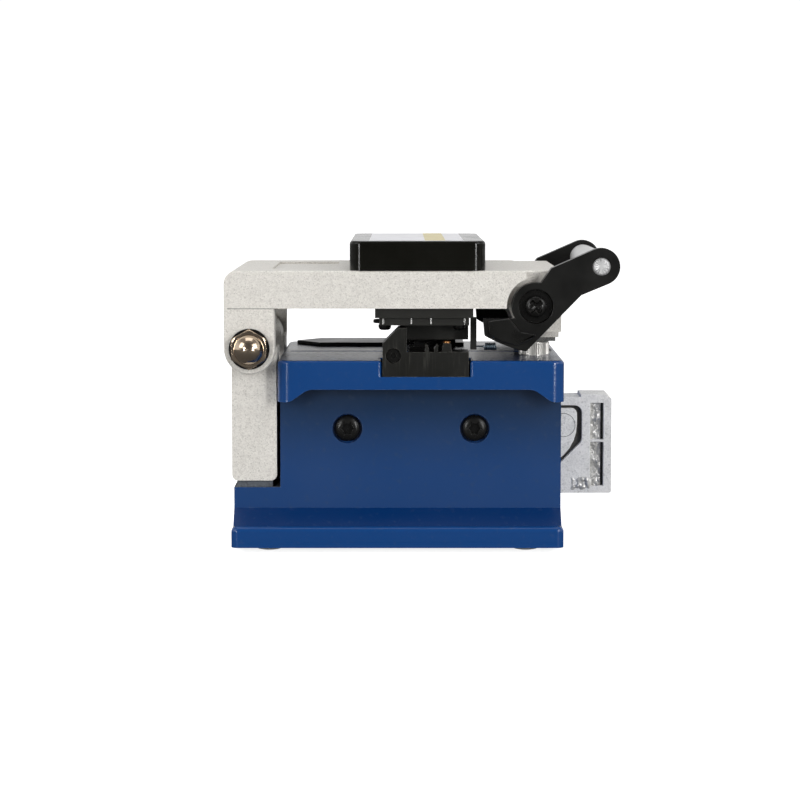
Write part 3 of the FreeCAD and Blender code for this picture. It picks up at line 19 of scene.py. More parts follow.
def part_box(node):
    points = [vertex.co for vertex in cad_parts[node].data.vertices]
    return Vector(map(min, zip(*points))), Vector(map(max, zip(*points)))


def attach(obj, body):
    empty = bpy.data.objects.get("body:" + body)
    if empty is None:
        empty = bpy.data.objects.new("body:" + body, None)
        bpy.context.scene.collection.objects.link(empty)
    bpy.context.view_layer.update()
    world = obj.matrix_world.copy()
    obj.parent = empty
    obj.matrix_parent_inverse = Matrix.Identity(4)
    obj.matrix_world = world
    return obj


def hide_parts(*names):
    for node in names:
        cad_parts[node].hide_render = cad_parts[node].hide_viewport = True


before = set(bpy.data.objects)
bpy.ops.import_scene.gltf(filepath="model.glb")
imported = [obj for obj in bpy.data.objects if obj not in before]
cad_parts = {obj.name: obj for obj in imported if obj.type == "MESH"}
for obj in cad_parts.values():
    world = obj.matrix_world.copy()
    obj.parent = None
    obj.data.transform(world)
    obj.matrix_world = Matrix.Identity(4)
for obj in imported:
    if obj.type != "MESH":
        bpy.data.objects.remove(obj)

LOG = logging.getLogger("cleaver")
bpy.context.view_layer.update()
MM = 0.001
WELD = 0.002  # Millimetres within which a CAD mesh's corners are one.
FLAT_ANGLE = math.radians(0.6)
SHARP_ANGLE = math.radians(34)
EASED_ANGLE = math.radians(40)
SKIN = 0.02  # Millimetres by which a mark is sunk in the face that carries it.
SLACK = 0.1  # Millimetres by which a zone reaches past its plane.
BEYOND = 50.0  # Millimetres from the axes, past the object.
SIDES = (("near", -1.0), ("far", 1.0))
UP = (0.0, 0.0, 1.0)

Thing = bpy.types.Object
Key = Union[str, int]
Feed = Union["Wire", float, Sequence[float]]
Point = Tuple[float, float, float]
Pair = Tuple[float, float]
Corner = Tuple[float, float, float]  # A place in an outline's plane, and a radius.
Oblong = Tuple[float, float, float, float, float]  # Two opposite corners, and a radius.


# ---- node trees


def linear(code: str) -> Tuple[float, float, float, float]:
    """A colour given as six hexadecimal digits, in linear light.

    Args:
        code: red, green and blue, two digits each.

    Returns:
        Red, green, blue and an alpha of one.
    """
    parts = [int(code[i:i + 2], 16) / 255 for i in (0, 2, 4)]
    red, green, blue = [p / 12.92 if p < 0.04045 else ((p + 0.055) / 1.055) ** 2.4 for p in parts]
    return red, green, blue, 1.0


def arithmetic(operation: str, swapped: bool = False) -> Callable[["Wire", Feed], "Wire"]:
    """An arithmetic method of a wire.

    Args:
        operation: the Math node's operation.
        swapped: whether the wire comes second.

    Returns:
        The method.
    """
    def method(self: "Wire", other: Feed) -> "Wire":
        """Add a Math node."""
        first, second = (other, self) if swapped else (self, other)
        return self.tree.add("ShaderNodeMath", {0: first, 1: second}, operation=operation)
    return method


class Wire:
    """An output socket; arithmetic on it adds Math nodes."""

    __add__ = arithmetic("ADD")
    __radd__ = arithmetic("ADD", swapped=True)
    __sub__ = arithmetic("SUBTRACT")
    __rsub__ = arithmetic("SUBTRACT", swapped=True)
    __mul__ = arithmetic("MULTIPLY")
    __rmul__ = arithmetic("MULTIPLY", swapped=True)

    def __init__(self, tree: "Tree", socket: bpy.types.NodeSocket) -> None:
        """Keep the tree and the socket."""
        self.tree = tree
        self.socket = socket

    def beside(self, output: Key) -> "Wire":
        """Another output of the same node."""
        return Wire(self.tree, self.socket.node.outputs[output])

    def step(self, low: float, high: float) -> "Wire":
        """A smooth rise from 0 at low to 1 at high."""
        span = {"Value": self, "From Min": low, "From Max": high}
        return self.tree.add("ShaderNodeMapRange", span, interpolation_type="SMOOTHSTEP")


class Tree:
    """A node tree that is built by calls."""

    def __init__(self, tree: bpy.types.NodeTree) -> None:
        """Keep the tree."""
        self.tree = tree

    def plug(self, socket: bpy.types.NodeSocket, value: Feed) -> None:
        """Link a wire to an input, or set the input.

        Args:
            socket: the input.
            value: the wire or the constant.
        """
        if isinstance(value, Wire):
            self.tree.links.new(value.socket, socket)
        else:
            socket.default_value = value

    def add(self, kind: str, sockets: Optional[Mapping[Key, Feed]] = None,
            output: Key = 0, **settings: str) -> Wire:
        """Add a node, set it and feed it.

        Args:
            kind: the node's type.
            sockets: a value or a wire for each input, by name or number, or several wires.
            output: the output wanted.
            settings: the node's properties.

        Returns:
            The wire of that output.
        """
        made = self.tree.nodes.new(kind)
        for key, value in settings.items():
            setattr(made, key, value)
        for key, value in (sockets or {}).items():
            for each in (value if isinstance(value, list) else [value]):
                self.plug(made.inputs[key], each)
        return Wire(self, made.outputs[output])

    def end(self, kind: str, wire: Wire) -> None:
        """Add the tree's output node and feed its first input."""
        self.plug(self.tree.nodes.new(kind).inputs[0], wire)


class Paint(Tree):
    """One material's node tree, with the patterns that the finishes share."""

    def __init__(self, name: str) -> None:
        """Make the material and its shader.

        Args:
            name: the material's name.
        """
        self.material = bpy.data.materials.new(name)
        self.material.use_nodes = True
        self.material.node_tree.nodes.clear()
        super().__init__(self.material.node_tree)
        shader = self.add("ShaderNodeBsdfPrincipled")
        self.inputs = shader.socket.node.inputs
        self.place = self.add("ShaderNodeTexCoord", output="Object")
        self.end("ShaderNodeOutputMaterial", shader)

    def feed(self, **sockets: Feed) -> None:
        """Give the shader values or wires, by input name with underscores for spaces."""
        for key, value in sockets.items():
            self.plug(self.inputs[key.replace("_", " ")], value)

    def noise(self, grain: float, detail: float = 2.0,
              stretch: Point = (1.0, 1.0, 1.0)) -> Wire:
        """Soft noise.

        Args:
            grain: size of a grain in millimetres.
            detail: octaves.
            stretch: how much longer the grain is along X, Y and Z.

        Returns:
            A value around 0.5.
        """
        scale = tuple(1 / (grain * MM * s) for s in stretch)
        place = self.add("ShaderNodeMapping", {"Vector": self.place, "Scale": scale})
        return self.add("ShaderNodeTexNoise",
                        {"Vector": place, "Scale": 1.0, "Detail": detail}, "Fac")

    def flakes(self, grain: float) -> Tuple[Wire, Wire]:
        """Cells of random value.

        Args:
            grain: size of a cell in millimetres.

        Returns:
            Two unrelated values from 0 to 1 for each cell.
        """
        colour = self.add("ShaderNodeTexVoronoi",
                          {"Vector": self.place, "Scale": 1 / (grain * MM)}, "Color")
        red = self.add("ShaderNodeSeparateColor", {"Color": colour}, "Red")
        return red, red.beside("Green")

    def mix(self, share: Feed, low: Feed, high: Feed) -> Wire:
        """Mix two colours, which are the node's inputs 6 and 7 and its output 2."""
        return self.add("ShaderNodeMix", {0: share, 6: low, 7: high}, 2, data_type="RGBA")

    def tint(self, share: Feed, low: str, high: str) -> Wire:
        """Mix two colours given as codes."""
        return self.mix(share, linear(low), linear(high))

    def bump(self, height: Wire, depth: float) -> Wire:
        """A bump of a depth in millimetres."""
        return self.add("ShaderNodeBump", {"Height": height, "Distance": depth * MM})

    def edges(self, width: float) -> Wire:
        """A mask that is 1 on outer and inner edges.

        Args:
            width: reach of the edge in millimetres.

        Returns:
            The mask.
        """
        soft = self.add("ShaderNodeBevel", {"Radius": width * MM})
        flat = self.add("ShaderNodeNewGeometry", output="Normal")
        even = self.add("ShaderNodeVectorMath", {0: soft, 1: flat}, "Value",
                        operation="DOT_PRODUCT")
        return (1.0 - even).step(0.02, 0.25)

    def edge_wear_and_highlight(self, width: float, patch: float, low: float, high: float) -> Wire:
        """A mask of edges in patches of a size in millimetres, for edge wear and painted edge
        highlight.
        """
        return self.edges(width) * self.noise(patch, 3.0).step(low, high)


# ---- finishes


@dataclass(frozen=True)
class Finish:
    """A surface finish: its name, its colour and how rough it is."""

    name: str
    colour: str
    roughness: float = 0.4
    specular: float = 0.5

    def made(self) -> bpy.types.Material:
        """Build the material.

        Returns:
            The material, made once for each name.
        """
        found = bpy.data.materials.get(self.name)
        if found:
            return found
        paint = Paint(self.name)
        self.lay(paint)
        paint.feed(Specular_IOR_Level=self.specular)
        return paint.material

    def lay(self, paint: Paint) -> None:
        """Lay the finish's pattern on the shader."""
        paint.feed(Base_Color=linear(self.colour), Roughness=self.roughness)


@dataclass(frozen=True)
class Enamel(Finish):
    """Semi-gloss stoved paint with a fine orange peel, a grey speckle and lighter edges: the
    speckle is dust, and painted sheen on the top and recess zones; the lighter edges are wear and
    painted highlight.
    """

    # The grey speckle is dust on most faces and painted sheen on the top and recess zones; the
    # lighter edge colour is wear and painted highlight.
    dust_and_sheen_colour: str = "4a5670"
    dust_and_sheen: float = 0.10
    rubbed_and_highlight_colour: str = "6f86b0"
    drift: float = 14.0
    dust_and_sheen_grain: float = 1.3
    peel: float = 0.4
    peel_depth: float = 0.006
    edge: float = 0.22
    patch: float = 0.9

    def lay(self, paint: Paint) -> None:
        """Lay colour drift, peel, the speckle of dust and painted sheen, and the lighter edges of
        wear and painted highlight.

        Args:
            paint: the material's nodes.
        """
        drift = paint.noise(self.drift, 3.0)
        peel = paint.noise(self.peel, 1.0)
        dust_and_sheen = (paint.noise(self.dust_and_sheen_grain, 4.0) - 0.56).step(0.0, 0.2) * self.dust_and_sheen
        body = paint.mix(dust_and_sheen + (drift - 0.5) * 0.06 + 0.02, self.tone(paint), linear(self.dust_and_sheen_colour))
        edge_wear_and_highlight = paint.edge_wear_and_highlight(self.edge, self.patch, 0.42, 0.66) * 0.5
        paint.feed(Base_Color=paint.mix(edge_wear_and_highlight, body, linear(self.rubbed_and_highlight_colour)),
                   Roughness=self.roughness + (drift - 0.5) * 0.12,
                   Normal=paint.bump(peel, self.peel_depth))

    def tone(self, paint: Paint) -> Feed:
        """The paint's own colour before the speckle and the lighter edges."""
        return linear(self.colour)


@dataclass(frozen=True)
class ShadedRecessEnamel(Enamel):
    """Enamel in a recess with painted shade, darker towards the overhang above it."""

    # deep is the colour of the painted shade under the overhang; span is the height in millimetres
    # over which it comes in.
    deep: str = "05294a"
    span: Pair = (14.0, 33.0)

    def tone(self, paint: Paint) -> Feed:
        """The paint's colour with painted shade, darker towards the top."""
        height = paint.add("ShaderNodeSeparateXYZ", {0: paint.place}, "Z") * (1 / MM)
        return paint.tint(height.step(*self.span), self.colour, self.deep)


@dataclass(frozen=True)
class SparklePaint(Finish):
    """Silver paint full of small flakes."""

    bright: str = "f4f1ea"
    dark: str = "b2aea7"
    grime: str = "8f8b84"
    flake: float = 0.21
    coarse: float = 1.9
    mottle: float = 2.4
    edge: float = 0.25
    depth: float = 0.012
    metallic: float = 0.25

    def lay(self, paint: Paint) -> None:
        """Lay light and dark flakes over a soft mottle.

        Args:
            paint: the material's nodes.
        """
        tone, odd = paint.flakes(self.flake)
        large, spark = paint.flakes(self.flake * self.coarse)
        share = tone * 0.55 + large * 0.25 + paint.noise(self.mottle, 3.0) * 0.4 - 0.1
        body = paint.tint(share, self.colour, self.bright)
        dulled = paint.mix(odd.step(0.80, 0.98) * 0.45, body, linear(self.dark))
        grimy = paint.mix(paint.edges(self.edge) * 0.28, dulled, linear(self.grime))
        paint.feed(Base_Color=grimy, Metallic=self.metallic,
                   Roughness=self.roughness + (0.5 - spark) * 0.22,
                   Normal=paint.bump(tone + large, self.depth))


@dataclass(frozen=True)
class CastMetal(Finish):
    """Matt die-cast metal with a grainy skin."""

    dark: str = "8c8c8b"
    grain: float = 0.3
    cloud: float = 3.5
    pit: float = 0.35
    depth: float = 0.03
    metallic: float = 0.2

    def lay(self, paint: Paint) -> None:
        """Lay grain, cloudy tone and dark pits.

        Args:
            paint: the material's nodes.
        """
        grain = paint.noise(self.grain, 3.0)
        cloud = paint.noise(self.cloud, 3.0)
        pits, _ = paint.flakes(self.pit)
        share = (grain - 0.5) * 0.9 + (cloud - 0.5) * 0.6 + 0.15 + pits.step(0.85, 1.0) * 0.3
        paint.feed(Base_Color=paint.tint(share, self.colour, self.dark),
                   Metallic=self.metallic, Roughness=self.roughness + (grain - 0.5) * 0.3,
                   Normal=paint.bump(grain, self.depth))


@dataclass(frozen=True)
class BareMetal(Finish):
    """Machined, ground or polished metal with smudges and fine marks."""

    dark: str = "3a3632"
    smudge: float = 2.0
    grain: float = 0.12
    marks: float = 0.08
    depth: float = 0.002
    metallic: float = 1.0

    def lay(self, paint: Paint) -> None:
        """Lay smudges and turning or grinding marks.

        Args:
            paint: the material's nodes.
        """
        smudge = paint.noise(self.smudge, 3.0)
        marks = paint.noise(self.grain)
        share = (marks - 0.35) * self.marks * 4 + smudge * 0.12
        paint.feed(Base_Color=paint.tint(share, self.colour, self.dark), Metallic=self.metallic,
                   Roughness=self.roughness + (smudge - 0.5) * 0.12 + (marks - 0.5) * 0.1,
                   Normal=paint.bump(marks, self.depth))


@dataclass(frozen=True)
class Moulding(Finish):
    """Moulded black plastic or blacked steel: fine grain, and lighter edges that are rubs and,
    where strong, painted highlight.
    """

    rubbed_and_highlight_colour: str = "6a6963"
    grain: float = 0.22
    cloud: float = 4.0
    depth: float = 0.006
    edge: float = 0.18
    patch: float = 0.7
    rub_and_highlight: float = 0.35
    scratch: float = 0.5
    streak: float = 0.0

    def lay(self, paint: Paint) -> None:
        """Lay grain, streaks and lighter edges of rubs and painted highlight.

        Args:
            paint: the material's nodes.
        """
        grain = paint.noise(self.grain)
        cloud = paint.noise(self.cloud, 4.0)
        upright = paint.noise(self.scratch, 3.0, (1.0, 1.0, 14.0))
        # The lighter edges are rubs, and painted highlight on the finishes with a strong edge
        # share.
        marks = (paint.edge_wear_and_highlight(self.edge, self.patch, 0.35, 0.7) * self.rub_and_highlight
                 + upright.step(0.52, 0.8) * self.streak)
        paint.feed(Base_Color=paint.tint(marks + cloud * 0.03, self.colour, self.rubbed_and_highlight_colour),
                   Roughness=self.roughness + (cloud - 0.5) * 0.25 + (grain - 0.5) * 0.1,
                   Normal=paint.bump(grain, self.depth))


@dataclass(frozen=True)
class Clouded(Finish):
    """Rubber with a chalky bloom, or a film with smudges and a faint fibre."""

    second: str = "c9c9cc"
    patch: float = 3.0
    span: Pair = (0.45, 0.75)
    most: float = 0.35
    grain: float = 0.14
    stretch: Point = (1.0, 6.0, 1.0)
    fibre: float = 0.08
    depth: float = 0.002

    def lay(self, paint: Paint) -> None:
        """Lay the second colour in patches and a fine grain.

        Args:
            paint: the material's nodes.
        """
        soft = paint.noise(self.patch, 4.0)
        grain = paint.noise(self.grain, stretch=self.stretch)
        share = soft.step(*self.span) * self.most + grain * self.fibre
        paint.feed(Base_Color=paint.tint(share, self.colour, self.second),
                   Roughness=self.roughness + (soft - 0.5) * 0.2,
                   Normal=paint.bump(grain, self.depth))


@dataclass(frozen=True)
class Rubber(Clouded):
    """Soft rubber."""

    patch: float = 0.9
    span: Pair = (0.45, 0.8)
    most: float = 0.4
    grain: float = 0.12
    stretch: Point = (1.0, 1.0, 1.0)
    fibre: float = 0.0
    depth: float = 0.004


@dataclass(frozen=True)
class Floor(Finish):
    """A plain white sweep with a little light of its own."""

    glow: float = 0.85
    bounce: str = "a8a8a8"
    mirrored: str = "585858"

    def lay(self, paint: Paint) -> None:
        """Lay a white that glows a little, and lights the object from below less.

        Args:
            paint: the material's nodes.
        """
        seen = paint.add("ShaderNodeLightPath", output="Is Camera Ray")
        back = paint.tint(seen.beside("Is Glossy Ray"), self.bounce, self.mirrored)
        paint.feed(Base_Color=paint.mix(seen, back, linear(self.colour)), Roughness=self.roughness,
                   Emission_Color=paint.tint(seen, "000000", "ffffff"), Emission_Strength=self.glow)


BLUE = Enamel("blue_enamel", "0b407d", 0.2, specular=0.5, peel_depth=0.016)
SPARKLE = SparklePaint("sparkle_silver_paint", "d6d2cb", 0.5)
CAST = CastMetal("grainy_casting", "fdfcfa", 0.5, dark="a8a8a6", metallic=0.0)
# Painted shade: a dark casting colour for the floors of the slider's dish groove and slots, where
# shade falls.
POCKET_PAINTED_SHADE = CastMetal("casting_painted_shade", "4c4a47", 0.7, dark="232220", metallic=0.0)
# Painted highlight: the strong light edge of the toe pads stands in for a highlight on their rim.
PAD_BLACK_RIM_HIGHLIGHT = Moulding("pad_painted_rim_highlight", "0c0c0b", 0.3, specular=0.4, edge=0.12, rub_and_highlight=0.9)
NICKEL = BareMetal("warm_nickel", "d3bfa8", 0.16, marks=0.03)
STEEL = BareMetal("bright_steel", "b9b9b7", 0.28)
POSTS = BareMetal("post_metal", "dddbd6", 0.38, metallic=0.6)
CARBIDE = BareMetal("ground_carbide", "85868a", 0.22, marks=0.12)
WIRE = BareMetal("spring_wire", "9fb0bb", 0.3)
SATIN = BareMetal("satin_bar", "dcdcdc", 0.42, marks=0.05, metallic=0.4)
BRASS = BareMetal("plain_brass", "c98f5c", 0.3)
OXIDE = Moulding("oxide_black", "080808", 0.26, specular=0.3, rubbed_and_highlight_colour="8d8a84", rub_and_highlight=0.3)
BLACK = Moulding("satin_black", "0c0c0b", 0.36, specular=0.3)
HOUSING = Moulding("housing_black", "22221f", 0.42, specular=0.35)
# Painted highlight: the strong light edges of the guide block stand in for highlights along its
# slopes.
GUIDE_BLACK_EDGE_HIGHLIGHT = Moulding("black_painted_edge_highlight", "12120f", 0.38, specular=0.35, edge=0.3,
                       streak=0.25, rub_and_highlight=0.8)
GLOSS = Moulding("shiny_black_shell", "0d0d09", 0.16, specular=0.24, depth=0.005, rub_and_highlight=0.12)
PAD = Rubber("soft_pad", "0e0e0e", 0.8, second="2a2a2a")
FOOT = Rubber("soft_foot", "dededc", 0.5, second="ececea")
CERAMIC = Moulding("ground_ceramic", "dcd8cd", 0.35, rubbed_and_highlight_colour="f4f2ea", rub_and_highlight=0.1)
WHITE_LABEL = Clouded("white_label", "eeeef2", 0.4)
YELLOW_LABEL = Clouded("yellow_label", "ddd19a", 0.4, second="d9bf92")
# Painted shade: a darker, greyer copy of the blue for the recessed walls, darkest under the
# overhang.
BLUE_RECESS_SHADED = ShadedRecessEnamel("blue_enamel_recess_painted_shade", "0b3c74", 0.32, specular=0.6,
                           dust_and_sheen_colour="3c4a5c", dust_and_sheen=0.2)
# Painted shade: a darker copy of the blue, with less reflection, for the coves at the foot of the
# recessed walls.
BLUE_COVE_SHADED = Enamel("blue_enamel_cove_painted_shade", "022c60", 0.22, specular=0.2)
# Painted reflection: a darker copy of the blue for the top faces, with a dense grey speckle that
# stands in for light caught by the peel.
BLUE_TOP_PAINTED_SHEEN = Enamel("blue_enamel_top_painted_sheen", "10284e", 0.26, dust_and_sheen_colour="70757f", dust_and_sheen=0.7,
                  dust_and_sheen_grain=0.3, peel=0.22, peel_depth=0.03)
# A dark speckled grey on the ledge's top under the bracket.
DARK_LEDGE = CastMetal("dark_speckled_ledge", "6a7078", 0.6, dark="2c2e30", grain=0.4, depth=0.06)
FRACTURE = CastMetal("broken_casting_skin", "dddcd9", 0.34, dark="646360", grain=0.3,
                     depth=0.03, metallic=0.4)
# Painted shade: a dark finish for thin pieces that stand in for the shade in a slot and in a fine
# groove.
SHADE_MARK = Moulding("painted_shade_mark", "1c1a18", 0.6)
# Painted shade: a dark line that stands in for the shade under the arm's slab where it overhangs
# the ear.
SEAM_SHADE = Moulding("seam_painted_shade", "57534d", 0.6)
FLOOR = Floor("floor_white", "f4f4f4", 0.9)


# ---- mesh helpers


def from_mesh(name: str, mesh: bpy.types.Mesh, finish: Finish) -> Thing:
    """Put a mesh in the scene under a finish.

    Args:
        name: the piece's name.
        mesh: its mesh, in place.
        finish: what covers it.

    Returns:
        The object.
    """
    thing = bpy.data.objects.new(name, mesh)
    bpy.context.scene.collection.objects.link(thing)
    mesh.materials.clear()
    mesh.materials.append(finish.made())
    return thing


def finished(work: bmesh.types.BMesh, name: str) -> bpy.types.Mesh:
    """Turn what has been built into a mesh.

    Args:
        work: what has been built; it is freed.
        name: the mesh's name.

    Returns:
        The mesh.
    """
    mesh = bpy.data.meshes.new(name)
    work.to_mesh(mesh)
    work.free()
    return mesh


def merged_copy(node: str) -> bpy.types.Mesh:
    """A copy of a CAD node's mesh with its loose triangles joined.

    Args:
        node: the node.

    Returns:
        The joined mesh, flat areas made single faces.
    """
    work = bmesh.new()
    work.from_mesh(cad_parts[node].data)
    bmesh.ops.remove_doubles(work, verts=work.verts, dist=WELD * MM)
    bmesh.ops.dissolve_limit(work, angle_limit=FLAT_ANGLE, verts=work.verts, edges=work.edges)
    return finished(work, node)


def node_box(node: str) -> Tuple[Vector, Vector]:
    """Where a CAD node is, in millimetres.

    Args:
        node: the node.

    Returns:
        The middle of its box and the box's size.
    """
    low, high = (Vector(corner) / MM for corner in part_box(node))
    return (low + high) / 2, high - low


def moved(place: Sequence[float]) -> Matrix:
    """A move by a distance in millimetres."""
    return Matrix.Translation(Vector(place) * MM)


def modified(thing: Thing, kind: str, **settings: object) -> None:
    """Reshape an object's mesh by a modifier.

    Args:
        thing: the object.
        kind: the modifier's type.
        settings: its properties.
    """
    modifier = thing.modifiers.new(kind, kind)
    for key, value in settings.items():
        setattr(modifier, key, value)
    graph = bpy.context.evaluated_depsgraph_get()
    old, thing.data = thing.data, bpy.data.meshes.new_from_object(thing.evaluated_get(graph))
    thing.modifiers.clear()
    bpy.data.meshes.remove(old)


def smooth(thing: Thing) -> None:
    """Shade smooth but for sharp edges.

    Args:
        thing: the object.
    """
    mesh = thing.data
    mesh.polygons.foreach_set("use_smooth", [True] * len(mesh.polygons))
    mesh.set_sharp_from_angle(angle=SHARP_ANGLE)


def smooth_and_even(thing: Thing) -> None:
    """Shade smooth and let large flat faces keep their normals beside rounded edges."""
    smooth(thing)
    modified(thing, "WEIGHTED_NORMAL", keep_sharp=True, weight=100)


@dataclass(frozen=True)
class Zone:
    """Faces inside a box, on one side, that have a finish of their own."""

    finish: Finish
    low: Point
    high: Point
    facing: Point = (0.0, 0.0, 0.0)
    agreement: float = 0.9

    def mark(self, mesh: bpy.types.Mesh, number: int) -> None:
        """Give the zone's faces a material.

        Args:
            mesh: the mesh, in place.
            number: the material's place in the mesh's list.
        """
        low, high, facing = (Vector(v) for v in (self.low, self.high, self.facing))
        for face in mesh.polygons:
            middle = face.center / MM
            inside = all(a <= m <= b for a, m, b in zip(low, middle, high))
            if inside and face.normal.dot(facing) >= self.agreement * facing.length:
                face.material_index = number


@dataclass(frozen=True)
class Dressed:
    """A CAD node shown as a joined copy with eased edges and smooth shading."""

    node: str
    slot: str
    finish: Finish
    ease: float = 0.0
    segments: int = 2
    zones: Sequence[Zone] = ()
    sunk: float = 0.0

    def build(self, body: str) -> Thing:
        """Make the copy, let it stand for the node and ride on the node's body.

        Args:
            body: the body that it rides on.

        Returns:
            The piece.
        """
        thing = from_mesh(f"{self.node}_dress", merged_copy(self.node), self.finish)
        for number, zone in enumerate(self.zones, start=1):
            thing.data.materials.append(zone.finish.made())
            zone.mark(thing.data, number)
        top = max(corner.co.z for corner in thing.data.vertices) - self.sunk * MM
        for corner in thing.data.vertices:
            corner.co.z = min(corner.co.z, top)
        if self.ease:
            modified(thing, "BEVEL", width=self.ease * MM, segments=self.segments,
                     limit_method="ANGLE", angle_limit=EASED_ANGLE)
        smooth_and_even(thing)
        return settle(thing, body, self.slot, self.node)


def settle(thing: Thing, body: str, slot: str, *nodes: str) -> Thing:
    """Let a piece ride on a body and stand for CAD nodes.

    Args:
        thing: the piece.
        body: the body's name.
        slot: not used.
        nodes: the nodes that it stands for.

    Returns:
        The piece.
    """
    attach(thing, body)
    if nodes:
        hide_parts(*nodes)
    LOG.info("%s on %s: %d faces", thing.name, body, len(thing.data.polygons))
    return thing


def paint_nodes(finishes: Mapping[str, Finish]) -> None:
    """Give CAD nodes that stay as they are their finishes.

    Args:
        finishes: each node's finish.
    """
    for node, finish in finishes.items():
        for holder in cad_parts[node].material_slots:
            holder.material = finish.made()


class Grown(Tree):
    """A Geometry Nodes tree with named sizes that becomes one plain mesh."""

    def __init__(self, name: str, sizes: Mapping[str, float]) -> None:
        """Make the tree and an input for each size.

        Args:
            name: the tree's name.
            sizes: each input's value, lengths in metres.
        """
        super().__init__(bpy.data.node_groups.new(name, "GeometryNodeTree"))
        sockets = self.tree.interface
        sockets.new_socket("Geometry", in_out="OUTPUT", socket_type="NodeSocketGeometry")
        for word, value in sizes.items():
            sockets.new_socket(word, in_out="INPUT",
                               socket_type="NodeSocketFloat").default_value = value
        self.given = self.tree.nodes.new("NodeGroupInput")

    def __getitem__(self, word: str) -> Wire:
        """One named size."""
        return Wire(self, self.given.outputs[word])

    def point(self, x: Feed = 0.0, y: Feed = 0.0, z: Feed = 0.0) -> Wire:
        """A vector of three values."""
        return self.add("ShaderNodeCombineXYZ", {0: x, 1: y, 2: z})

    def turned(self, step: Feed) -> Wire:
        """A turn about Z that grows with each copy's number."""
        return self.point(z=self.add("GeometryNodeInputIndex") * step)

    def joined(self, *shapes: Wire) -> Wire:
        """Several shapes as one."""
        return self.add("GeometryNodeJoinGeometry", {"Geometry": list(shapes)})

    def ring(self, radius: Wire, sides: int) -> Wire:
        """A circle as a curve."""
        return self.add("GeometryNodeCurvePrimitiveCircle", {"Resolution": sides, "Radius": radius})

    def wire(self, path: Wire, radius: Wire, sides: int) -> Wire:
        """Round wire along a curve, its ends closed."""
        return self.add("GeometryNodeCurveToMesh", {
            "Curve": path, "Profile Curve": self.ring(radius, sides), "Fill Caps": True})

    def pair(self, spread: Wire) -> Wire:
        """Two points along Y.

        Args:
            spread: the distance between them; the origin is halfway.

        Returns:
            The points.
        """
        return self.add("GeometryNodeMeshLine", {
            "Count": 2, "Start Location": self.point(y=spread * -0.5),
            "Offset": self.point(y=spread)})

    def copies(self, points: Wire, shape: Wire, turn: Feed = (0.0, 0.0, 0.0)) -> Wire:
        """A shape on each point."""
        return self.add("GeometryNodeInstanceOnPoints",
                        {"Points": points, "Instance": shape, "Rotation": turn})

    def piece(self, name: str, shape: Wire, finish: Finish,
              place: Matrix = Matrix()) -> Thing:
        """End the tree and turn what it makes into a plain mesh.

        Args:
            name: the piece's name.
            shape: the geometry to end with.
            finish: what covers it.
            place: where the mesh goes, in metres.

        Returns:
            The piece.
        """
        real = self.add("GeometryNodeRealizeInstances", {"Geometry": shape})
        covered = self.add("GeometryNodeSetMaterial", {"Geometry": real, "Material": finish.made()})
        self.end("NodeGroupOutput", covered)
        thing = from_mesh(name, bpy.data.meshes.new(name), finish)
        modified(thing, "NODES", node_group=self.tree)
        thing.data.transform(place)
        smooth(thing)
        return thing


@dataclass(frozen=True)
class Coil:
    """A round-wire coil spring along an axis, with an optional straight lead."""

    coil: float
    wire: float
    length: float
    turns: float
    lead: float = 0.0
    steps: int = 28
    sides: int = 10

    def build(self, name: str, start: Vector, axis: Point) -> Thing:
        """Grow the coil.

        Args:
            name: the piece's name.
            start: the coil's first end, after the lead, in millimetres.
            axis: the way that it runs.

        Returns:
            The spring.
        """
        tree = Grown(name, {"Coil": self.coil * MM, "Wire": self.wire * MM,
                            "Length": self.length * MM, "Turns": self.turns,
                            "Lead": self.lead * MM})
        path = tree.add("GeometryNodeCurveSpiral", {
            "Resolution": self.steps, "Rotations": tree["Turns"],
            "Start Radius": tree["Coil"], "End Radius": tree["Coil"],
            "Height": tree["Length"]})
        tail = tree.add("GeometryNodeCurvePrimitiveLine", {
            "Start": tree.point(tree["Coil"], 0.0, tree["Lead"] * -1.0),
            "End": tree.point(tree["Coil"])})
        shape = tree.wire(tree.joined(path, tail) if self.lead else path, tree["Wire"], self.sides)
        way = Vector(axis).to_track_quat("Z", "Y").to_matrix().to_4x4()
        return tree.piece(name, shape, WIRE, moved(start) @ way)


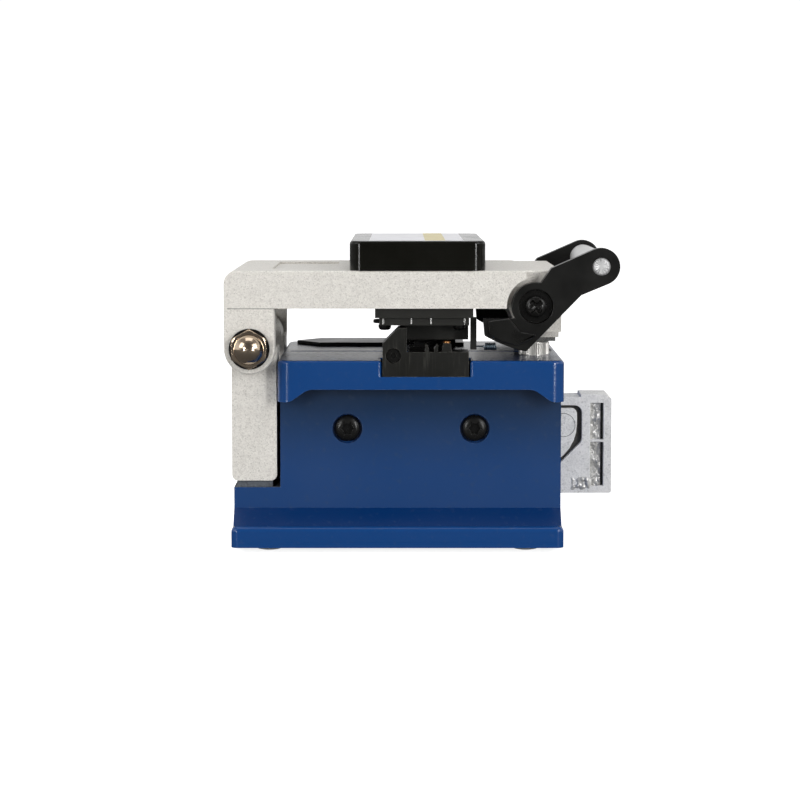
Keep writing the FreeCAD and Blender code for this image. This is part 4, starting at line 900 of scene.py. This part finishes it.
@dataclass(frozen=True)
class CrossHead:
    """A domed screw head with a cross recess, pointing up from its seat."""

    radius: float
    height: float
    reach: float
    arm: float
    deep: float
    turn: float = 40.0
    rings: int = 26
    spokes: int = 64
    rim_share: float = 0.45
    flat_share: float = 0.35
    rise_share: float = 0.35
    side_slope: float = 0.5
    end_slope: float = 0.18

    def _level(self, r: float, angle: float) -> float:
        """Height of the head at a place.

        Args:
            r: distance from the axis in millimetres.
            angle: the way to the place, in radians.

        Returns:
            The height above the seat in millimetres.
        """
        rim, flat = self.rim_share * self.height, self.flat_share * self.radius
        out = max(0.0, (r - flat) / (self.radius - flat))
        top = rim + (self.height - rim) * math.sqrt(max(0.0, 1.0 - out * out))
        way = angle - math.radians(self.turn)
        u, v = r * math.cos(way), r * math.sin(way)
        cut = max(self._slot(u, v), self._slot(v, u))
        return top - cut * self.deep * (1.0 - self.rise_share * r / self.reach)

    def _slot(self, across: float, along: float) -> float:
        """How far inside one arm of the recess a place lies.

        Args:
            across: distance from the arm's middle line in millimetres.
            along: distance from the head's axis along the arm.

        Returns:
            0 outside, 1 on the arm's floor.
        """
        half = self.arm * (1.0 + self.side_slope / 2)
        side = (half - abs(across)) / (self.arm * self.side_slope)
        end = (self.reach - abs(along)) / (self.reach * self.end_slope)
        return max(0.0, min(1.0, side, end))

    def mesh(self, name: str) -> bpy.types.Mesh:
        """Build the head as a closed mesh.

        Args:
            name: the mesh's name.

        Returns:
            The mesh, its seat on the origin, facing +Z.
        """
        work = bmesh.new()
        middle = work.verts.new((0.0, 0.0, self._level(0.0, 0.0) * MM))
        angles = [2 * math.pi * i / self.spokes for i in range(self.spokes)]
        radii = [self.radius * (i + 1) / self.rings for i in range(self.rings)]
        places = [[(r * math.cos(a), r * math.sin(a), self._level(r, a)) for a in angles]
                  for r in radii]
        places.append([(x, y, 0.0) for x, y, _ in places[-1]])
        rows = [[work.verts.new(Vector(place) * MM) for place in row] for row in places]
        for i in range(self.spokes):
            j = (i + 1) % self.spokes
            work.faces.new((middle, rows[0][i], rows[0][j]))
            for low, high in zip(rows, rows[1:]):
                work.faces.new((low[i], high[i], high[j], low[j]))
        work.faces.new(list(reversed(rows[-1])))
        return finished(work, name)


def screw_set(name: str, head: CrossHead, facing: Matrix, grid: Pair, place: Vector,
              turn: float) -> Thing:
    """Copies of a black screw head on the corners of a grid.

    Args:
        name: the piece's name.
        head: the head.
        facing: how a head made facing +Z is turned.
        grid: the spread along X and Y in millimetres; 0 along X gives a pair.
        place: the grid's middle.
        turn: the angle in degrees by which each copy is turned about Z after the last.

    Returns:
        The screws as one piece.
    """
    one = from_mesh(f"{name}_one", head.mesh(f"{name}_one"), OXIDE)
    one.data.transform(facing)
    tree = Grown(name, {"Spread X": grid[0] * MM, "Spread Y": grid[1] * MM,
                        "Turn": math.radians(turn)})
    shape = tree.add("GeometryNodeObjectInfo", {"Object": one}, "Geometry")
    points = tree.pair(tree["Spread Y"])
    if grid[0]:
        points = tree.add("GeometryNodeMeshGrid", {
            "Size X": tree["Spread X"], "Size Y": tree["Spread Y"],
            "Vertices X": 2, "Vertices Y": 2})
    made = tree.piece(name, tree.copies(points, shape, tree.turned(tree["Turn"])),
                      OXIDE, moved(place))
    bpy.data.objects.remove(one)
    return made


class Plane(Enum):
    """The plane that an outline is drawn in."""

    LEVEL = (0, 1, 2)
    UPRIGHT = (0, 2, 1)

    def spot(self, *place: float) -> Point:
        """A point in metres from its place along, across and off the plane."""
        return tuple(place[axis] * MM for axis in self.value)


def rounded(corners: Sequence[Corner], steps: int = 8) -> List[Vector]:
    """The points of an outline with rounded corners.

    Args:
        corners: each corner's place in the plane and its radius, in millimetres.
        steps: points on each arc, less one.

    Returns:
        The points.
    """
    points = []
    for before, (x, y, radius), after in zip([*corners[-1:], *corners[:-1]], corners,
                                             [*corners[1:], *corners[:1]]):
        corner = Vector((x, y))
        back, ahead = ((Vector(other[:2]) - corner).normalized() for other in (before, after))
        half = back.angle(ahead) / 2
        middle = corner + (back + ahead).normalized() * radius / math.sin(half)
        if not radius:
            points.append(corner)
            continue
        first, last = ((corner + way * radius / math.tan(half) - middle).normalized()
                       for way in (back, ahead))
        points += [middle + first.slerp(last, i / steps) * radius for i in range(steps + 1)]
    return points


def box_of(x0: float, y0: float, x1: float, y1: float, radius: float) -> List[Corner]:
    """A rectangle's corners with one radius."""
    return [(x0, y0, radius), (x1, y0, radius), (x1, y1, radius), (x0, y1, radius)]


def plate(name: str, corners: Sequence[Corner], level: float, thick: float,
          plane: Plane, finish: Finish, ease: float = 0.0) -> Thing:
    """A flat plate cut to an outline.

    Args:
        name: the piece's name.
        corners: its corners in the plane and their radii, in millimetres.
        level: where its back lies along the plane's normal.
        thick: how far it stands toward the normal's side; negative for the other side.
        plane: the outline's plane.
        finish: what covers it.
        ease: radius of its front edge.

    Returns:
        The plate.
    """
    work = bmesh.new()
    base = work.faces.new([work.verts.new(plane.spot(a, b, level)) for a, b in rounded(corners)])
    lifted = bmesh.ops.extrude_face_region(work, geom=[base])
    moved = [v for v in lifted["geom"] if isinstance(v, bmesh.types.BMVert)]
    bmesh.ops.translate(work, verts=moved, vec=plane.spot(0.0, 0.0, thick))
    bmesh.ops.recalc_face_normals(work, faces=work.faces)
    if ease:
        front = set(moved)
        rim = [e for e in work.edges if e.verts[0] in front and e.verts[1] in front]
        bmesh.ops.bevel(work, geom=rim, offset=ease * MM, segments=3, profile=0.6, affect="EDGES")
    thing = from_mesh(name, finished(work, name), finish)
    smooth_and_even(thing)
    return thing


@dataclass(frozen=True)
class Crust:
    """A crumpled patch of broken casting skin on a face that looks to the near side."""

    low: Pair
    high: Pair
    back: float
    rise: float
    rough: float
    seed: float
    step: float = 0.2
    fade: float = 0.02
    lumps: Pair = (0.9, 0.6)
    finer: float = 2.3

    def build(self, name: str) -> Thing:
        """Make the patch, which drops to its back round its border.

        Args:
            name: the piece's name.

        Returns:
            The patch.
        """
        (left, bottom), (right, top) = self.low, self.high
        across, up = round((right - left) / self.step), round((top - bottom) / self.step)
        work = bmesh.new()
        rows = []
        for j in range(up + 1):
            z = bottom + (top - bottom) * j / up
            along = [left + (right - left) * i / across for i in range(across + 1)]
            rows.append([work.verts.new(Vector((x, self._level(x, z), z)) * MM) for x in along])
        for j in range(up):
            for i in range(across):
                work.faces.new((rows[j][i], rows[j][i + 1], rows[j + 1][i + 1], rows[j + 1][i]))
        border = ([rows[0][i] for i in range(across + 1)]
                  + [rows[j][across] for j in range(1, up + 1)]
                  + [rows[up][i] for i in range(across - 1, -1, -1)]
                  + [rows[j][0] for j in range(up - 1, 0, -1)])
        work.faces.new(list(reversed(border)))
        bmesh.ops.triangulate(work, faces=work.faces[:-1])
        return from_mesh(name, finished(work, name), FRACTURE)

    def _level(self, x: float, z: float) -> float:
        """Y of the patch at a place.

        Args:
            x: the place's X in millimetres.
            z: the place's Z in millimetres.

        Returns:
            Its Y in millimetres.
        """
        inside = min(x - self.low[0], self.high[0] - x, z - self.low[1], self.high[1] - z)
        share = min(1.0, inside / self.fade)
        place = Vector((x * self.lumps[0], z * self.lumps[1], self.seed))
        lump = noise.noise(place) + 0.5 * noise.noise(place * self.finer)
        return self.back - max(SKIN, self.rise + self.rough * lump) * share


# ---- sub-assemblies


@dataclass
class Base:
    """The blue casting and what is fixed to it."""

    name: str = "base"
    top: float = 38.0
    ease: float = 0.45
    wall: float = 25.0
    wall_reach: Pair = (-30.0, 29.0)
    wall_heights: Pair = (6.0, 37.0)
    cove_edge: float = 29.0
    cove_top: float = 12.0
    ledge: Tuple[Point, Point] = ((-37.0, -24.4, 12.45), (-29.4, 24.4, 14.0))
    post_radius: float = 3.1
    post_sides: int = 48
    ribs: int = 44
    rib: float = 0.16
    rib_width: float = 0.208
    rib_share: float = 0.86
    spring_wire: float = 0.45
    spring_turns: float = 7.0
    front_slot: Oblong = (25.9, -1.5, 26.8, 15.5, 0.42)
    slot_thick: float = 0.05

    def build(self) -> None:
        """Dress the base's nodes."""
        # The casting's zones carry painted shade and painted reflection, and the guide block a
        # painted edge highlight.
        for piece in (Dressed("base_casting", "blue_paint", BLUE, self.ease, 3, self._zones()),
                      Dressed("hinge_bracket", "sparkle_silver", SPARKLE, 0.15),
                      Dressed("rail_screws", "black_oxide", OXIDE),
                      Dressed("hinge_washers", "black_oxide", OXIDE),
                      Dressed("hinge_nuts", "nickel", NICKEL),
                      Dressed("guide_block", "black_plastic", GUIDE_BLACK_EDGE_HIGHLIGHT, 0.08),
                      Dressed("rubber_feet", "foot_rubber", FOOT),
                      Dressed("holder_seat", "black_plastic", BLACK, 0.1)):
            piece.build(self.name)
        self._make_posts()
        self._make_hinge_spring()
        # A thin dark oblong on the top: painted shade standing in for a slot.
        slot = plate("front_slot", box_of(*self.front_slot), self.top - SKIN,
                     self.slot_thick, Plane.LEVEL, SHADE_MARK)
        settle(slot, self.name, "black_oxide")
        paint_nodes({"linear_rail": STEEL, "bracket_screws": OXIDE, "hinge_pin": STEEL,
                     "guide_screw": OXIDE, "guide_adjuster": BRASS,
                     "lower_clamp_blocks": BLACK, "lower_clamp_pads": PAD})

    def _zones(self) -> List[Zone]:
        """The casting's faces that have a finish of their own.

        Returns:
            The top with painted reflection, the recessed walls and the coves under them with
            painted shade, and the dark speckled ledge.
        """
        (rear, front), (foot, brow) = self.wall_reach, self.wall_heights
        top = Zone(BLUE_TOP_PAINTED_SHEEN, (-BEYOND, -BEYOND, self.top - SLACK),
                   (BEYOND, BEYOND, self.top + SLACK), UP)
        walls = [Zone(BLUE_RECESS_SHADED, (rear, sign * self.wall - SLACK, foot),
                      (front, sign * self.wall + SLACK, brow), (0.0, sign, 0.0))
                 for _, sign in SIDES]
        coves = []
        for _, sign in SIDES:
            inner, outer = sorted((sign * self.wall, sign * self.cove_edge))
            coves.append(Zone(BLUE_COVE_SHADED, (-BEYOND, inner, foot), (front, outer, self.cove_top)))
        return [top, *walls, *coves, Zone(DARK_LEDGE, *self.ledge)]

    def _make_posts(self) -> None:
        """The two ribbed posts that hold the arm's front down."""
        middle, size = node_box("magnet_posts")
        tree = Grown("ribbed_posts", {
            "Radius": (self.post_radius - self.rib) * MM, "Height": size.z * MM,
            "Rib": self.rib_width * MM, "Spread": (size.y - size.x) * MM,
            "Turn": 2 * math.pi / self.ribs})
        core = tree.add("GeometryNodeMeshCylinder", {
            "Vertices": self.post_sides, "Radius": tree["Radius"],
            "Depth": tree["Height"]})
        bar = tree.point(tree["Rib"], tree["Rib"], tree["Height"] * self.rib_share)
        rib = tree.add("GeometryNodeTransform", {
            "Geometry": tree.add("GeometryNodeMeshCube", {"Size": bar}),
            "Rotation": (0.0, 0.0, math.pi / 4)})
        ring = tree.add("GeometryNodeMeshCircle", {"Vertices": self.ribs, "Radius": tree["Radius"]})
        post = tree.joined(core, tree.copies(ring, rib, tree.turned(tree["Turn"])))
        made = tree.piece("ribbed_posts", tree.copies(tree.pair(tree["Spread"]), post),
                          POSTS, moved(middle))
        settle(made, self.name, "post_silver", "magnet_posts")

    def _make_hinge_spring(self) -> None:
        """The round-wire torsion spring on the hinge pin."""
        middle, size = node_box("hinge_spring")
        length = size.y - 2 * self.spring_wire
        coil = Coil(size.z / 2 - self.spring_wire, self.spring_wire, length, self.spring_turns)
        spring = coil.build("hinge_coil", middle - Vector((0.0, length / 2, 0.0)), (0.0, 1.0, 0.0))
        settle(spring, self.name, "spring_steel", "hinge_spring")


@dataclass
class Arm:
    """The silver arm with its cap and housing."""

    name: str = "arm"
    side: float = 30.0
    label_level: float = 61.4
    label: Oblong = (-10.5, -27.6, 8.0, 27.6, 1.0)
    label_rise: float = 0.06
    stripe: Oblong = (0.4, -27.3, 4.4, 27.3, 0.0)
    stripe_rise: float = 0.09
    seam: Oblong = (-38.3, 48.12, -28.4, 48.24, 0.0)
    pin_places: Sequence[float] = (-7.8, -2.3, 1.6, 8.2)
    pin_front: float = -28.0
    pin_span: Pair = (45.05, 46.2)
    pin_radius: float = 0.22
    pivot_head: CrossHead = CrossHead(radius=2.1, height=1.5, reach=1.5, arm=0.38, deep=1.0)
    under_head: CrossHead = CrossHead(radius=1.25, height=1.1, reach=0.75, arm=0.18,
                                      deep=0.45, rings=12, spokes=32)
    pivot_turn: float = 180.0
    under_turn: float = 37.0
    side_head: CrossHead = CrossHead(radius=0.45, height=1.4, reach=0.315, arm=0.09,
                                     deep=0.225, rings=8, spokes=24)
    side_seat: Point = (-8.4, -26.6, 45.6)
    tension: Coil = Coil(coil=0.6, wire=0.16, length=2.3, turns=6.5, lead=1.6)

    def build(self) -> None:
        """Dress the arm's nodes."""
        for piece in (Dressed("arm_casting", "sparkle_silver", SPARKLE, 0.12),
                      Dressed("anvil_cap", "gloss_black", GLOSS, sunk=0.1),
                      Dressed("anvil_housing", "black_plastic", HOUSING, 0.1)):
            piece.build(self.name)
        self._make_labels()
        # The seam lines are painted shade under the slab's edge.
        for word, sign in SIDES:
            seam = plate(f"{word}_seam", box_of(*self.seam), sign * (self.side - SKIN),
                         sign * 2 * SKIN, Plane.UPRIGHT, SEAM_SHADE)
            settle(seam, self.name, "sparkle_silver")
        self._make_screws()
        self._make_pins()
        self._make_side_screw()
        self._make_tension_spring()
        paint_nodes({"keeper_strip": STEEL, "near_clamp_spring": WIRE, "far_clamp_spring": WIRE,
                     "anvil_spring": WIRE, "near_clamp_block": BLACK, "near_clamp_pad": PAD,
                     "far_clamp_block": BLACK, "far_clamp_pad": PAD, "anvil_plunger": BLACK,
                     "anvil_tip": CERAMIC})

    def _make_labels(self) -> None:
        """The plain white label on the cap and its plain yellow block."""
        for name, corners, rise, finish in (
                ("white_label", self.label, self.label_rise, WHITE_LABEL),
                ("yellow_label", self.stripe, self.stripe_rise, YELLOW_LABEL)):
            label = plate(name, box_of(*corners), self.label_level, rise, Plane.LEVEL, finish)
            settle(label, self.name, "gloss_black")

    def _make_screws(self) -> None:
        """The cross-recess screws: two handle pivots and four under the housing."""
        middle, size = node_box("handle_screws")
        pivots = screw_set("pivot_screws", self.pivot_head, Matrix.Rotation(math.pi / 2, 4, "X"),
                           (0.0, size.y - 2 * self.pivot_head.height), middle, self.pivot_turn)
        settle(pivots, self.name, "black_oxide", "handle_screws")
        middle, size = node_box("housing_screws")
        middle.z += self.under_head.height - size.z / 2
        across = 2 * self.under_head.radius
        under = screw_set("housing_screw_heads", self.under_head, Matrix.Rotation(math.pi, 4, "X"),
                          (size.x - across, size.y - across), middle, self.under_turn)
        settle(under, self.name, "black_oxide", "housing_screws")

    def _make_pins(self) -> None:
        """Small steel pins in the housing's near face."""
        work = bmesh.new()
        low, high = self.pin_span
        for x in self.pin_places:
            bmesh.ops.create_cone(work, cap_ends=True, segments=20, radius1=self.pin_radius * MM,
                                  radius2=self.pin_radius * MM, depth=(high - low) * MM,
                                  matrix=moved((x, self.pin_front, (low + high) / 2)))
        pins = from_mesh("housing_pins", finished(work, "housing_pins"), STEEL)
        smooth(pins)
        settle(pins, self.name, "steel")

    def _make_side_screw(self) -> None:
        """The small screw in the housing's rear."""
        side = from_mesh("housing_side_screw", self.side_head.mesh("housing_side_screw"), OXIDE)
        side.data.transform(moved(self.side_seat) @ Matrix.Rotation(-math.pi / 2, 4, "Y"))
        smooth(side)
        settle(side, self.name, "black_oxide")

    def _make_tension_spring(self) -> None:
        """The handle's small tension spring with its straight lead."""
        middle, size = node_box("handle_spring")
        start = middle + Vector((self.tension.lead - size.x / 2, 0.0, 0.0))
        settle(self.tension.build("tension_coil", start, (1.0, 0.0, 0.0)), self.name,
               "spring_steel", "handle_spring")


@dataclass
class Handle:
    """The bail handle."""

    name: str = "handle"
    side: float = 30.0
    plate_ease: float = 0.22
    pad_rise: float = 0.45
    pad_ease: float = 0.35
    toe_pad: Sequence[Corner] = (
        (12.75, 45.8, 0.4), (16.9, 46.3, 0.8), (19.0, 43.7, 1.2), (22.4, 43.1, 0.2),
        (20.4, 41.7, 0.8), (18.4, 41.0, 0.8), (15.6, 41.6, 1.0), (12.9, 43.1, 0.7))

    def build(self) -> None:
        """Dress the handle's nodes."""
        for piece in (Dressed("handle_near_plate", "black_plastic", BLACK, self.plate_ease),
                      Dressed("handle_far_plate", "black_plastic", BLACK, self.plate_ease),
                      Dressed("handle_bar", "bar_satin", SATIN),
                      Dressed("handle_washers", "black_oxide", OXIDE)):
            piece.build(self.name)
        # The toe pads carry a painted rim highlight.
        for word, sign in SIDES:
            pad = plate(f"{word}_toe_pad", self.toe_pad, sign * (self.side - SKIN),
                        sign * self.pad_rise, Plane.UPRIGHT, PAD_BLACK_RIM_HIGHLIGHT, self.pad_ease)
            settle(pad, self.name, "black_plastic")


@dataclass
class Slider:
    """The cast slider, its carriage and the blade."""

    name: str = "slider"
    pocket: Tuple[Point, Point] = ((15.0, -3.3, 9.0), (38.0, -2.9, 28.5))
    island: Sequence[Corner] = ((16.4, 14.1, 0.0), (31.9, 14.1, 9.0), (31.9, 26.4, 1.2),
                                (16.4, 26.4, 0.0))
    island_back: float = -3.18
    island_rise: float = 1.1
    island_ease: float = 0.3
    mark: Tuple[float, float, float] = (29.1, 22.9, 2.4)
    mark_line: float = 0.05
    mark_steps: int = 64
    mark_sides: int = 6
    crusts: Sequence[Crust] = (
        Crust((34.3, 10.1), (36.85, 19.7), -3.02, 0.95, 0.75, 3.0),
        Crust((34.3, 19.7), (36.85, 27.8), -3.02, 0.95, 0.75, 8.0),
        Crust((30.3, 9.2), (34.9, 12.5), -4.45, 0.3, 0.35, 5.0, fade=0.9))

    def build(self) -> None:
        """Dress the slider's nodes."""
        # Painted shade on the floors of the dish groove and the slots.
        floor = Zone(POCKET_PAINTED_SHADE, *self.pocket, (0.0, -1.0, 0.0))
        Dressed("slider_casting", "cast_silver", CAST, 0.12, zones=[floor]).build(self.name)
        island = plate("dish_island", self.island, self.island_back, -self.island_rise,
                       Plane.UPRIGHT, CAST, self.island_ease)
        settle(island, self.name, "cast_silver")
        for number, crust in enumerate(self.crusts, start=1):
            settle(crust.build(f"crust_{number}"), self.name, "cast_silver")
        self._make_mark()
        paint_nodes({"rail_carriage": STEEL, "carriage_screws": OXIDE})
        Dressed("blade_wheel", "blade_carbide", CARBIDE).build("blade")
        Dressed("blade_hub", "steel", STEEL).build("blade")

    def _make_mark(self) -> None:
        """The round mould mark on the dish: a thin dark ring, painted shade standing in for its
        fine groove.
        """
        x, z, radius = self.mark
        tree = Grown("mould_mark", {"Radius": radius * MM, "Line": self.mark_line * MM})
        circle = tree.ring(tree["Radius"], self.mark_steps)
        line = tree.wire(circle, tree["Line"], self.mark_sides)
        place = moved((x, self.island_back - self.island_rise, z))
        ring = tree.piece("mould_mark", line, SHADE_MARK, place @ Matrix.Rotation(math.pi / 2, 4, "X"))
        settle(ring, self.name, "cast_silver")


@dataclass
class Studio:
    """A pale floor, soft lights and the camera."""

    lens: float = 123.93
    sensor: float = 36.0
    eye: Point = (-4.49, -568.0, 76.6)
    tilt: float = 4.92
    aim: Point = (0.0, 0.0, 30.0)
    floor_radius: float = 4000.0
    dusk: Pair = (-0.75, -0.1)
    ceiling: Pair = (0.3, 0.8)
    ceiling_cut: float = 0.75
    room: float = 0.8
    least: float = 0.1
    backdrop: float = 1.05
    lights: Sequence[Tuple[str, Point, Pair, float]] = (
        ("left_strip", (-360.0, -560.0, 130.0), (50.0, 250.0), 1.1),
        ("right_strip", (360.0, -560.0, 130.0), (50.0, 250.0), 1.3),
        ("left_box", (-680.0, -380.0, 480.0), (500.0, 500.0), 1.8),
        ("right_box", (620.0, -480.0, 440.0), (500.0, 500.0), 2.3),
        ("top_box", (0.0, 60.0, 900.0), (600.0, 600.0), 1.7),
    )

    def build(self) -> None:
        """Make the floor, the world, the lights and the camera."""
        self._make_floor()
        self._make_world()
        for light in self.lights:
            self._make_light(*light)
        self._make_camera()
        bpy.context.scene.view_settings.view_transform = "Standard"

    def _make_floor(self) -> None:
        """A wide white disc under the feet."""
        work = bmesh.new()
        bmesh.ops.create_circle(work, cap_ends=True, radius=self.floor_radius * MM, segments=96)
        from_mesh("floor", finished(work, "floor"), FLOOR)

    def _make_world(self) -> None:
        """A white room that is dimmer on the camera's side."""
        world = bpy.data.worlds.new("room")
        bpy.context.scene.world = world
        world.use_nodes = True
        world.node_tree.nodes.clear()
        tree = Tree(world.node_tree)
        way = tree.add("ShaderNodeTexCoord", output="Generated")
        behind = tree.add("ShaderNodeSeparateXYZ", {0: way}, "Y")
        above = behind.beside("Z").step(*self.ceiling)
        bright = (behind.step(*self.dusk) * (1.0 - above * self.ceiling_cut) * self.room
                  + self.least)
        seen = tree.add("ShaderNodeLightPath", output="Is Camera Ray")
        power = bright * (1.0 - seen) + seen * self.backdrop
        tree.end("ShaderNodeOutputWorld", tree.add(
            "ShaderNodeBackground", {"Color": (1.0, 1.0, 1.0, 1.0), "Strength": power}))

    def _make_light(self, name: str, place: Point, sides: Pair, watts: float) -> None:
        """One soft box that faces the object's middle.

        Args:
            name: the light's name.
            place: its middle in millimetres.
            sides: its width and height in millimetres.
            watts: its power.
        """
        data = bpy.data.lights.new(name, "AREA")
        data.shape = "RECTANGLE"
        data.size, data.size_y = sides[0] * MM, sides[1] * MM
        data.energy = watts
        lamp = bpy.data.objects.new(name, data)
        bpy.context.scene.collection.objects.link(lamp)
        lamp.location = Vector(place) * MM
        aim = Vector(self.aim) * MM - lamp.location
        lamp.rotation_euler = aim.to_track_quat("-Z", "Y").to_euler()

    def _make_camera(self) -> None:
        """A long lens at the side, looking a little down."""
        data = bpy.data.cameras.new("camera")
        data.sensor_width = self.sensor
        data.lens = self.lens
        data.clip_start, data.clip_end = 0.05, 20.0
        camera = bpy.data.objects.new("camera", data)
        bpy.context.scene.collection.objects.link(camera)
        camera.location = Vector(self.eye) * MM
        camera.rotation_euler.x = math.radians(90.0 - self.tilt)
        bpy.context.scene.camera = camera


def main() -> None:
    """Build the studio and dress every sub-assembly, in order."""
    logging.basicConfig(level=logging.INFO, format="%(name)s: %(message)s")
    Studio().build()
    for part in (Base(), Arm(), Handle(), Slider()):
        part.build()
        LOG.info("%s done", part.name)


if __name__ == "__main__":
    main()
